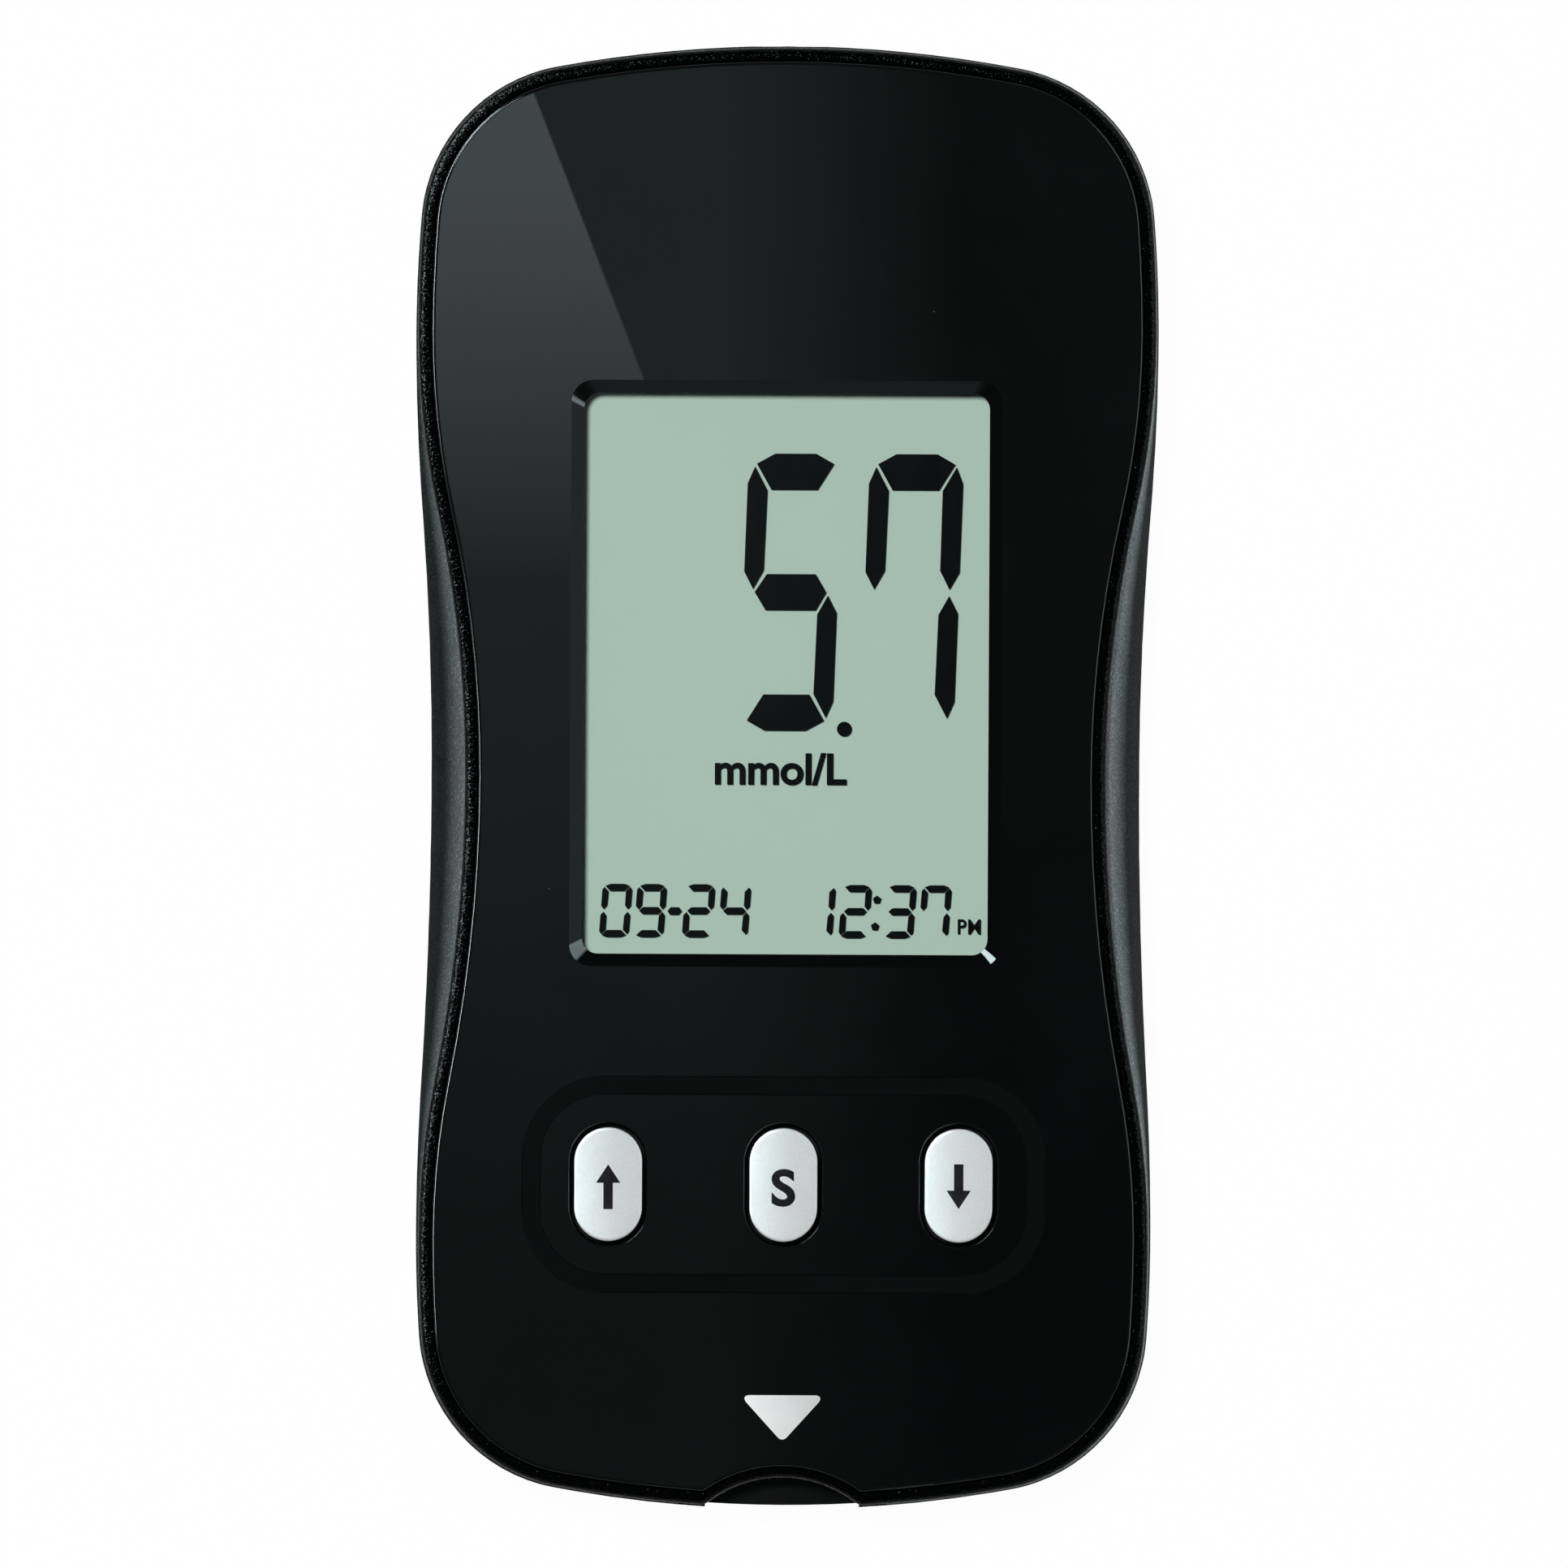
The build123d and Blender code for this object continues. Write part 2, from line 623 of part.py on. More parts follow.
# ---------------------------------------------------------------- keys
def key_cap():
    """A crowned cap on a flange that stops it under the tray."""
    cap = prism(stadium(key_width, key_length), key_flange_top_z, key_top_z)
    cap &= lying_cylinder(key_crown_radius, -key_length, key_length, key_top_z - key_crown_radius)
    crown_room = Pos(0, 0, key_top_z) * Box(2 * key_width, 2 * key_length, 2 * key_rise + panel_thickness)
    cap = fillet(edges_within(cap, crown_room), key_edge_round)
    flange = stadium(key_width + 2 * key_flange, key_length + 2 * key_flange)
    return cap + prism(flange, key_flange_z, key_flange_top_z)


def plunger_section(grow=0.0):
    return stadium(key_width - 2 * plunger_inset + 2 * grow, key_length - 2 * plunger_inset + 2 * grow)


def key_web():
    """The thin skirt that joins the mat to the plunger and buckles when the key is pressed."""
    high_z = mat_top_z + web_rise
    outer = frustum(
        plunger_section(web_spread + web_thickness), mat_top_z, plunger_section(web_thickness), high_z
    )
    inner = frustum(plunger_section(web_spread), mat_top_z, plunger_section(), high_z)
    collar = plunger_section(web_thickness) - plunger_section()
    return outer - inner + prism(collar, high_z, high_z + web_thickness)


def key_pieces():
    pieces = {}
    for name, place in key_places.items():
        pieces["key_" + name] = place * key_cap()
        pieces["plunger_" + name] = place * prism(plunger_section(), plunger_z, key_flange_z)
        pieces["carbon_pill_" + name] = place * post((0, 0), pill_radius, pill_z, plunger_z)
        pieces["web_" + name] = place * key_web()
    return pieces


def key_mat():
    mat = Pos(0, key_y, 0) * prism(RectangleRounded(mat_width, mat_length, mat_corner), board_top_z, mat_top_z)
    for place in key_places.values():
        mat -= place * prism(plunger_section(web_spread), board_top_z, mat_top_z)
    return mat


# ---------------------------------------------------------------- batteries and contacts
def coin_cell(y):
    """The can faces the cover. The smaller cap, inside its seal, faces the board."""
    can = post((0, y), coin_radius, coin_z, coin_top_z - coin_cap_step)
    can = chamfer(bottom_edges(can), coin_round)
    cap = post((0, y), coin_cap_radius, coin_z + coin_cap_step, coin_top_z)
    return can + chamfer(top_edges(cap), coin_cap_step / 2)


def negative_spring(y, towards):
    """A finger under the bay's roof that presses on the small cap, with a leg to the board.

    towards is 1 where the leg lies on the cell's +Y side, and -1 where it lies on the other.
    """
    half = contact_thickness / 2
    root_z = bay_ceiling_z - half - slip
    path = FilletPolyline(
        (y + towards * spring_leg, board_z - slip),
        (y + towards * spring_leg, root_z),
        (y + towards * spring_root, root_z),
        (y, coin_top_z + half),
        (y - towards * spring_toe, root_z - half),
        radius=contact_bend,
    )
    return extrude(Plane.YZ * trace(path, contact_thickness), spring_width / 2, both=True)


def positive_clip(y):
    """A bowed leaf at the side of a cell, with a leg to the board."""
    half, low_z = contact_thickness / 2, coin_z + clip_lift
    reach = clip_length / 2
    bow = ThreePointArc(
        (clip_root_x, y - reach), (coin_radius + half + slip, y), (clip_root_x, y + reach)
    )
    leaf = prism(trace(bow, contact_thickness), low_z, low_z + clip_height)
    leg_y = y + reach - clip_leg_width
    leg = block(clip_root_x - half, clip_root_x + half, leg_y, y + reach, low_z, board_z - slip)
    return leaf + leg


def battery_pieces():
    pieces = {}
    for (name, y), towards in zip(coin_places.items(), (1, -1)):
        pieces["battery_" + name] = coin_cell(y)
        pieces["negative_spring_" + name] = negative_spring(y, towards)
        pieces["positive_clip_" + name] = positive_clip(y)
    return pieces


def battery_bay():
    """The room for both cells: two round pockets with a gangway and a side bay for each clip."""
    room = middle_block(gangway_width / 2, coin_low_y, coin_high_y, cover_face_z, bay_ceiling_z)
    for y in coin_places.values():
        reach = clip_room / 2
        room += post((0, y), coin_radius + bay_gap, cover_face_z, bay_ceiling_z)
        room += block(0, clip_root_x + 2 * gap, y - reach, y + reach, coin_z, bay_ceiling_z)
    return room


def contact_slots():
    """Slots in the bay's roof for the legs of the contacts."""
    reach = contact_thickness / 2 + gap
    slots = Part()
    for y, towards in zip(coin_places.values(), (1, -1)):
        leg_y = y + towards * spring_leg
        slots += middle_block(spring_width / 2 + gap, leg_y - reach, leg_y + reach, bay_ceiling_z, board_z)
        low_y, high_y = y + clip_length / 2 - clip_leg_width - gap, y + clip_room / 2
        slots += block(clip_root_x - reach, clip_root_x + reach, low_y, high_y, bay_ceiling_z, board_z)
    return slots


# ---------------------------------------------------------------- back of the case
def swell(z):
    """How far the side has swelled from the rim to the girth at height z, as a share."""
    rise = shoulder_roundness * (z - shoulder_z) / shoulder_height
    flat = sqrt(1 - shoulder_roundness**2)
    return (sqrt(1 - rise**2) - flat) / (1 - flat)


def body_form(inside):
    """The rear housing's full form up to the parting plane, drawn in all round by inside."""
    straight_z = (back_round + shoulder_z) / 2
    base = prism(outline_face(inset(girth, inside)), inside, straight_z)
    base = fillet(bottom_edges(base), back_round - inside)
    wires = [outline_wire(inset(girth, inside), straight_z)]
    for step in (0, 0.4, 0.75, 1):
        z = shoulder_z + step * shoulder_height
        wires.append(outline_wire(inset(between(rim, girth, swell(z)), inside), z))
    return base + Solid.make_loft(wires)


def cover_channel(clearance):
    """The space of the battery cover and its runners, open to the +Y end."""
    half, runner = cover_half_width + clearance, cover_half_width + runner_width + clearance
    low_y, far_y, high_z = cover_start_y - clearance, half_length + 1, cover_inner_z + clearance
    channel = middle_block(half, low_y, far_y, -1, high_z)
    channel += middle_block(runner, low_y, far_y, runner_z - clearance, high_z)
    return channel + middle_block(half, cover_lip_y - clearance, far_y, -1, cover_lip_height + clearance)


def battery_cover():
    """A plate with a lip round the end edge, side runners, a sprung latch and a ribbed thumb grip."""
    cover = body_form(0) & cover_channel(0)
    cover -= middle_block(half_width, cover_start_y, cover_lip_y, 0, cover_face_z)
    for side in (1, -1):
        low_x, high_x = sorted((side * latch_half_width, side * (latch_half_width + latch_slot)))
        cover -= block(low_x, high_x, cover_start_y, cover_start_y + latch_length, 0, cover_inner_z)
    catch_y = cover_start_y + catch_inset
    catch = middle_block(
        latch_half_width - latch_slot, catch_y, catch_y + catch_length, runner_z, cover_inner_z + catch_height
    )
    cover += chamfer(top_edges(catch).filter_by(Axis.X), catch_height / 2)
    for i in range(ridge_count):
        y = half_length - ridge_end_room + ridge_pitch * (i - (ridge_count - 1) / 2)
        groove = Pos(0, y) * SlotOverall(ridge_length, ridge_width)
        cover -= prism(groove, cover_face_z, cover_face_z + ridge_depth)
    return cover


def rear_housing():
    """The moulded back: an even shell with the battery bay, the cover's grooves and screw pillars."""
    outer = body_form(0)
    shell = outer - body_form(wall)
    half_wall = wall / 2
    solid_parts = middle_block(bay_half_width, bay_low_y - bay_wall, half_length, half_wall, bay_ceiling_z + bay_roof)
    solid_parts += middle_block(groove_half_width, cover_start_y - wall, half_length, half_wall, groove_height)
    for point in case_screw_places:
        solid_parts += post(point, rear_boss_radius, half_wall, board_z)
    shell += solid_parts & outer

    shell -= battery_bay() + contact_slots()
    shell -= cover_channel(gap)
    catch_z = cover_inner_z + catch_height + gap
    shell -= middle_block(latch_half_width, cover_start_y, half_length, runner_z, catch_z)
    for point in case_screw_places:
        shell -= post(point, case_screw_radius + screw_hole_gap, case_seat_z, board_z)
        shell -= post(point, case_head_radius + screw_hole_gap, 0, case_seat_z)
    return shell - socket_room() - port_room() - tongue_room()


def socket_room():
    low_z = socket_z - socket_nose_radius - gap
    room = lying_cylinder(socket_nose_radius + gap, socket_front_y, half_length, socket_z)
    half = socket_width / 2 + gap
    return room + middle_block(half, socket_back_y, socket_front_y + gap, low_z, parting_z)


def port_room():
    """Room for the strip guide, and a shallow step in the end below it."""
    end_block = middle_block(port_half_width, -half_length - wall, arch_top_y, 0, parting_z)
    step = end_block - prism(outline_face(inset(girth, port_recess)), 0, parting_z)
    guide = middle_block(guide_half_width + gap, -half_length, guide_inner_y, board_top_z - gap, parting_z)
    return guide + step


def tongue_room():
    return prism(outline_face(inset(rim, skin)), parting_z - tongue_depth - gap, parting_z)


# ---------------------------------------------------------------- screws
def screw(point, shank_radius, head_radius, head_z, seat_z):
    """A screw that comes up from the back, with a cross in its head."""
    whole = post(point, shank_radius, seat_z, screw_top_z)
    whole += chamfer(bottom_edges(post(point, head_radius, head_z, seat_z)), head_radius / 5)
    for turn in (0, 90):
        cross = Box(2 * head_radius * drive_slot_share, drive_slot_width, 2 * drive_slot_depth)
        whole -= Pos(*point, head_z) * Rot(0, 0, turn) * cross
    return whole


def case_screws():
    head_z = case_seat_z - case_head_height
    return together(
        [screw(p, case_screw_radius, case_head_radius, head_z, case_seat_z) for p in case_screw_places]
    )


def board_screws():
    head_z = board_z - board_head_height
    return together(
        [screw(p, board_screw_radius, board_head_radius, head_z, board_z) for p in board_screw_places]
    )


# ---------------------------------------------------------------- every node
def all_nodes():
    nodes = {
        "front_housing": front_housing(),
        "front_panel": front_panel(),
        "display_window": display_window(),
        "display_gasket": display_gasket(),
        "lcd_holder": lcd_holder(),
        "main_board": main_board(),
        "main_chip": chip(main_chip_place, main_chip_size, main_chip_legs),
        "memory_chip": chip(memory_chip_place, memory_chip_size, memory_chip_legs),
        "crystal_can": crystal_can(),
        "buzzer": buzzer(),
        "board_capacitors": board_capacitors(),
        "data_socket": data_socket(),
        "socket_legs": socket_legs(),
        "strip_guide": strip_guide(),
        "strip_connector": strip_connector(),
        "strip_contacts": strip_contacts(),
        "key_mat": key_mat(),
        "rear_housing": rear_housing(),
        "battery_cover": battery_cover(),
        "case_screws": case_screws(),
        "board_screws": board_screws(),
    }
    for name, y in zebra_places().items():
        nodes[name] = zebra_block(y, 0, front_glass_z)
    return nodes | display_cell() | key_pieces() | battery_pieces()


def main():
    os.makedirs("parts", exist_ok=True)
    for name, shape in all_nodes().items():
        export_step(shape, f"parts/{name}.step")


main()
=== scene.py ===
import json
import math

import bmesh
import bpy
from mathutils import Matrix, Vector


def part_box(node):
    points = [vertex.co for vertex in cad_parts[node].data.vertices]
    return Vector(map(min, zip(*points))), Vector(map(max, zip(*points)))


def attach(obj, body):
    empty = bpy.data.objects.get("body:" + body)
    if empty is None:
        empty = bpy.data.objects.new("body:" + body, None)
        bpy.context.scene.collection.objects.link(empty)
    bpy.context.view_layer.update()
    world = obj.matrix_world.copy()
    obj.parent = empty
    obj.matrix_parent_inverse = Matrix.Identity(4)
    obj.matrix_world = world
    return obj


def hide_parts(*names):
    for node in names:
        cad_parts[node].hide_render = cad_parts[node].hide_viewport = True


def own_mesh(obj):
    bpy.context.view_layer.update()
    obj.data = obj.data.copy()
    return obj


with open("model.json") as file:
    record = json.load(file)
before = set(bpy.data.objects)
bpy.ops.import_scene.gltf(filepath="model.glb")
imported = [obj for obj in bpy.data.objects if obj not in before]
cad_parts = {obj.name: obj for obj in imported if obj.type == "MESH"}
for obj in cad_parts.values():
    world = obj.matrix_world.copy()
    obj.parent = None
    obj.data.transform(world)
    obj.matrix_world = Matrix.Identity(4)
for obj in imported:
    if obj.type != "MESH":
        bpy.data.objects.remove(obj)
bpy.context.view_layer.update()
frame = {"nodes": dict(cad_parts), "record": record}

mm = 0.001
nodes = frame["nodes"]
keys = ("up", "select", "down")
print("frame loaded with", len(nodes), "nodes")


# small helpers for shader trees

# detail and roughness of a noise
plainNoise, softNoise, wideNoise = (1.0, 0.5), (2.0, 0.5), (3.0, 0.5)
lineNoise, cloudNoise, fineNoise, patchNoise = (2.0, 0.6), (3.0, 0.55), (3.0, 0.6), (4.0, 0.55)

# where most values lie, of a noise, of a grain's height and of metal lines
midRange, heightRange, lineRange = (0.3, 0.7), (0.2, 0.9), (0.25, 0.75)


def feed(tree, value, spot):
    if isinstance(value, bpy.types.NodeSocket):
        tree.links.new(value, spot)
    elif isinstance(value, (tuple, list)) and len(value) == 3 and spot.type == "RGBA":
        spot.default_value = (*value, 1)
    else:
        spot.default_value = value


def calc(tree, operation, *values, clamp=False):
    node = tree.nodes.new("ShaderNodeMath")
    node.operation = operation
    node.use_clamp = clamp
    for value, spot in zip(values, node.inputs):
        feed(tree, value, spot)
    return node.outputs[0]


def plus(tree, first, second):
    return calc(tree, "ADD", first, second)


def times(tree, first, *others):
    for value in others:
        first = calc(tree, "MULTIPLY", first, value)
    return first


def rest(tree, share):
    return calc(tree, "SUBTRACT", 1.0, share)


def remap(tree, value, low, high, toLow=0.0, toHigh=1.0, smooth=True):
    node = tree.nodes.new("ShaderNodeMapRange")
    node.interpolation_type = "SMOOTHSTEP" if smooth else "LINEAR"
    ends = {"Value": value, "From Min": low, "From Max": high, "To Min": toLow, "To Max": toHigh}
    for name, number in ends.items():
        feed(tree, number, node.inputs[name])
    return node.outputs["Result"]


def mixColour(tree, factor, first, second):
    node = tree.nodes.new("ShaderNodeMix")
    node.data_type = "RGBA"
    for value, spot in ((factor, node.inputs[0]), (first, node.inputs[6]), (second, node.inputs[7])):
        feed(tree, value, spot)
    return node.outputs[2]


def noise(tree, vector, scale, layers=softNoise):
    node = tree.nodes.new("ShaderNodeTexNoise")
    values = {"Vector": vector, "Scale": scale, "Detail": layers[0], "Roughness": layers[1]}
    for name, value in values.items():
        feed(tree, value, node.inputs[name])
    return node.outputs[0]


def cells(tree, vector, scale, feature="F1"):
    node = tree.nodes.new("ShaderNodeTexVoronoi")
    node.feature = feature
    feed(tree, vector, node.inputs["Vector"])
    feed(tree, scale, node.inputs["Scale"])
    return node.outputs


def place(tree, group, **values):
    node = tree.nodes.new("ShaderNodeGroup")
    node.node_tree = group
    for name, value in values.items():
        feed(tree, value, node.inputs[name])
    return node.outputs


def objectPoint(tree):
    return tree.nodes.new("ShaderNodeTexCoord").outputs["Object"]


def axes(tree, vector):
    node = tree.nodes.new("ShaderNodeSeparateXYZ")
    feed(tree, vector, node.inputs[0])
    return node.outputs


def stretched(tree, vector, scale=(1, 1, 1), turn=0.0):
    node = tree.nodes.new("ShaderNodeMapping")
    feed(tree, vector, node.inputs["Vector"])
    node.inputs["Rotation"].default_value = (0, 0, turn)
    node.inputs["Scale"].default_value = scale
    return node.outputs[0]


def startGroup(name, inputs, outputs):
    group = bpy.data.node_groups.new(name, "ShaderNodeTree")
    for label, value in inputs.items():
        socket = group.interface.new_socket(label, in_out="INPUT", socket_type="NodeSocketFloat")
        socket.default_value = value
    for label in outputs:
        group.interface.new_socket(label, in_out="OUTPUT", socket_type="NodeSocketFloat")
    given = group.nodes.new("NodeGroupInput").outputs
    return group, given, group.nodes.new("NodeGroupOutput").inputs


# blasted grain: smooth shallow bumps that each catch a light
blastLook = {"mottle": 0.12}


def makeBlastGrain(look):
    group, given, put = startGroup("blastGrain", {"Scale": 6000.0}, ("Height", "Mottle"))
    spot, scale = objectPoint(group), given["Scale"]
    feed(group, noise(group, spot, scale, plainNoise), put["Height"])
    mottle = noise(group, spot, times(group, scale, look["mottle"]), cloudNoise)
    feed(group, mottle, put["Mottle"])
    return group


# moulding grain: a spark-eroded surface of tiny pits and facets
mouldLook = {"fine": 1.7, "pitShare": 0.6, "fineShare": 0.55, "mottle": 0.12}


def makeMouldGrain(look):
    group, given, put = startGroup("mouldGrain", {"Scale": 3500.0}, ("Height", "Mottle"))
    spot, scale = objectPoint(group), given["Scale"]
    pits = times(group, cells(group, spot, scale)["Distance"], look["pitShare"])
    fine = noise(group, spot, times(group, scale, look["fine"]), fineNoise)
    feed(group, plus(group, pits, times(group, fine, look["fineShare"])), put["Height"])
    mottle = noise(group, spot, times(group, scale, look["mottle"]), cloudNoise)
    feed(group, mottle, put["Mottle"])
    return group


# leather grain: pebbles with creases between them, drawn out along the case
leatherLook = {
    "stretch": (1.2, 0.45, 1.0), "turn": 0.06, "drift": 0.6, "creaseShade": 0.34, "pebble": 0.45,
    "pebbleShare": 0.8, "fine": 4.0, "fineShare": 0.3, "mottle": 0.15,
}


def makeLeatherGrain(look):
    inputs = {"Scale": 1500.0, "Wander": 0.4}
    group, given, put = startGroup("leatherGrain", inputs, ("Height", "CreaseShade", "Mottle"))
    scale = given["Scale"]
    spot = stretched(group, objectPoint(group), scale=look["stretch"], turn=look["turn"])
    drift = calc(group, "SUBTRACT", noise(group, spot, times(group, scale, look["drift"])), 0.5)
    push = times(group, drift, calc(group, "DIVIDE", given["Wander"], scale))
    moved = group.nodes.new("ShaderNodeVectorMath")
    moved.operation = "ADD"
    feed(group, spot, moved.inputs[0])
    feed(group, push, moved.inputs[1])
    gap = cells(group, moved.outputs[0], scale, "DISTANCE_TO_EDGE")["Distance"]
    pebble = times(group, remap(group, gap, 0.0, look["pebble"]), look["pebbleShare"])
    fine = noise(group, spot, times(group, scale, look["fine"]), fineNoise)
    feed(group, plus(group, pebble, times(group, fine, look["fineShare"])), put["Height"])
    # a mask for the painted shade in the creases
    feed(group, remap(group, gap, 0.0, look["creaseShade"], 1.0, 0.0), put["CreaseShade"])
    mottle = noise(group, spot, times(group, scale, look["mottle"]), cloudNoise)
    feed(group, mottle, put["Mottle"])
    return group


# stray dust: a few single specks, each a fraction of a millimetre
dustLook = {"smallest": 0.35, "core": 0.6}


def makeStrayDust(look):
    inputs = {"Scale": 420.0, "Amount": 0.3, "Speck": 0.03}
    group, given, put = startGroup("strayDust", inputs, ("Mask",))
    found = cells(group, objectPoint(group), given["Scale"])
    chosen = group.nodes.new("ShaderNodeSeparateColor")
    feed(group, found["Color"], chosen.inputs[0])
    rare = calc(group, "LESS_THAN", chosen.outputs[0], given["Amount"])
    share = remap(group, chosen.outputs[1], 0.0, 1.0, look["smallest"], 1.0, smooth=False)
    size = times(group, given["Speck"], share)
    near = remap(group, found["Distance"], times(group, size, look["core"]), size, 1.0, 0.0)
    feed(group, times(group, rare, near), put["Mask"])
    return group


# handling: soft patches and streaks that fingers leave on polish or lacquer
handlingLook = {
    "patch": (0.35, 0.7), "stretch": (3.0, 0.3, 1.0), "turn": 0.5, "fine": 6.0, "streak": (0.4, 0.8),
}


def makeHandling(look):
    group, given, put = startGroup("handling", {"Scale": 90.0}, ("Patch", "Streak"))
    spot, scale = objectPoint(group), given["Scale"]
    patch = noise(group, spot, scale, patchNoise)
    feed(group, remap(group, patch, *look["patch"]), put["Patch"])
    drawn = stretched(group, spot, scale=look["stretch"], turn=look["turn"])
    streak = noise(group, drawn, times(group, scale, look["fine"]), fineNoise)
    feed(group, remap(group, streak, *look["streak"]), put["Streak"])
    return group


# metal lines: the fine marks that rolling or turning leaves
linesLook = {"cloud": 0.1}


def makeMetalLines(look):
    inputs = {"Scale": 2500.0, "Along": 0.06}
    group, given, put = startGroup("metalLines", inputs, ("Line", "Cloud"))
    spot, scale = objectPoint(group), given["Scale"]
    apart = axes(group, spot)
    joined = group.nodes.new("ShaderNodeCombineXYZ")
    feed(group, apart["X"], joined.inputs["X"])
    feed(group, times(group, apart["Y"], given["Along"]), joined.inputs["Y"])
    feed(group, apart["Z"], joined.inputs["Z"])
    feed(group, noise(group, joined.outputs[0], scale, lineNoise), put["Line"])
    cloud = noise(group, spot, times(group, scale, look["cloud"]), cloudNoise)
    feed(group, cloud, put["Cloud"])
    return group


blastGrain, mouldGrain = makeBlastGrain(blastLook), makeMouldGrain(mouldLook)
leatherGrain, strayDust = makeLeatherGrain(leatherLook), makeStrayDust(dustLook)
handling, metalLines = makeHandling(handlingLook), makeMetalLines(linesLook)
print("shared shader groups made")


# materials

acrylic = 1.49  # index of refraction
dustRough = 0.8


def startMaterial(name):
    material = bpy.data.materials.new(name)
    material.use_nodes = True
    tree = material.node_tree
    tree.nodes.clear()
    skin = tree.nodes.new("ShaderNodeBsdfPrincipled")
    tree.links.new(skin.outputs[0], tree.nodes.new("ShaderNodeOutputMaterial").inputs["Surface"])
    return material, tree, skin


def mixOver(tree, factor, skin, shader):
    # shows a mix of the skin and another shader in the skin's place
    mix = tree.nodes.new("ShaderNodeMixShader")
    for value, spot in zip((factor, skin.outputs[0], shader.outputs[0]), mix.inputs):
        feed(tree, value, spot)
    out = next(n for n in tree.nodes if n.type == "OUTPUT_MATERIAL")
    feed(tree, mix.outputs[0], out.inputs["Surface"])


def bumpInto(tree, skin, height, depth):
    node = tree.nodes.new("ShaderNodeBump")
    node.inputs["Strength"].default_value = 1.0
    node.inputs["Distance"].default_value = depth
    feed(tree, height, node.inputs["Height"])
    feed(tree, node.outputs[0], skin.inputs["Normal"])


def paled(tree, value, look, ends=midRange):
    return mixColour(tree, remap(tree, value, *ends), look["colour"], look["pale"])


def roughened(tree, value, look, ends=midRange, smooth=True):
    return remap(tree, value, *ends, look["smooth"], look["rough"], smooth)


def dusted(tree, skin, colour, roughness, look):
    # lays the specks over a colour and a roughness, and plugs both in
    given = {"Scale": look["dustScale"], "Amount": look["dustAmount"], "Speck": look["dustSpeck"]}
    mask = place(tree, strayDust, **given)["Mask"]
    feed(tree, mixColour(tree, mask, colour, look["dustColour"]), skin.inputs["Base Color"])
    roughness = calc(tree, "MAXIMUM", roughness, times(tree, mask, dustRough))
    feed(tree, roughness, skin.inputs["Roughness"])


# the rim and frame round the panel
rimLook = {
    "colour": (0.0005, 0.0006, 0.0006), "pale": (0.0012, 0.0014, 0.0014), "paleEnds": (0.35, 0.9),
    "grainScale": 6000.0, "grainDepth": 0.00006, "smooth": 0.04, "rough": 0.08, "shine": 0.1,
    "dustScale": 700.0, "dustAmount": 0.2, "dustSpeck": 0.035, "dustColour": (0.2, 0.2, 0.2),
}


def makeRimPlastic(look):
    material, tree, skin = startMaterial("grainedBlack")
    grain = place(tree, blastGrain, Scale=look["grainScale"])
    colour = paled(tree, grain["Height"], look, look["paleEnds"])
    dusted(tree, skin, colour, roughened(tree, grain["Mottle"], look), look)
    skin.inputs["Specular IOR Level"].default_value = look["shine"]
    bumpInto(tree, skin, grain["Height"], look["grainDepth"])
    return material


# the back and its battery cover
backLook = {
    # the second colour is painted shade in the creases of the grain
    "colour": (0.212, 0.245, 0.252), "creaseShade": (0.113, 0.13, 0.134), "pale": (0.282, 0.325, 0.335),
    "grainScale": 7500.0, "grainDepth": 0.00005, "wander": 1.8, "smooth": 0.5, "rough": 0.7,
    # the next line also holds the heights and levels of the painted shade on the sides
    "shine": 0.02, "paintedShadeZ": (10.4 * mm, 12.4 * mm), "paintedShade": (0.09, 1.0),
    "dustScale": 500.0, "dustAmount": 0.2, "dustSpeck": 0.04, "dustColour": (0.3, 0.3, 0.3),
}


def makeBackPlastic(look):
    material, tree, skin = startMaterial("leatherGrey")
    grain = place(tree, leatherGrain, Scale=look["grainScale"], Wander=look["wander"])
    colour = paled(tree, grain["Mottle"], look)
    # painted shade in the creases of the grain
    colour = mixColour(tree, grain["CreaseShade"], colour, look["creaseShade"])
    # painted shade: darker low down, where the sides turn away from the light, than next to the rim
    paintedShade = remap(tree, axes(tree, objectPoint(tree))["Z"], *look["paintedShadeZ"], *look["paintedShade"])
    colour = mixColour(tree, paintedShade, (0.0, 0.0, 0.0), colour)
    # the pebbles are worn smoother than the creases
    roughness = remap(tree, grain["Height"], *heightRange, look["rough"], look["smooth"])
    dusted(tree, skin, colour, roughness, look)
    skin.inputs["Specular IOR Level"].default_value = look["shine"]
    bumpInto(tree, skin, grain["Height"], look["grainDepth"])
    return material


# the polished panel
panelLook = {
    "colour": (0.0018, 0.002, 0.0021), "bloom": (0.0025, 0.0027, 0.0029), "haze": 90.0,
    "smooth": 0.002, "rough": 0.006,
    "dustScale": 330.0, "dustAmount": 0.22, "dustSpeck": 0.018, "dustColour": (0.09, 0.09, 0.09),
}


def makePanelPlastic(look):
    material, tree, skin = startMaterial("polishedBlack")
    touched = place(tree, handling, Scale=look["haze"])
    colour = mixColour(tree, touched["Patch"], look["colour"], look["bloom"])
    worn = times(tree, touched["Patch"], touched["Streak"])
    dusted(tree, skin, colour, roughened(tree, worn, look, (0.0, 1.0), smooth=False), look)
    skin.inputs["IOR"].default_value = acrylic
    return material


# the window over the display
windowLook = {"tint": (0.985, 0.995, 0.99), "rough": 0.01, "glare": (0.28, 0.28, 0.28)}


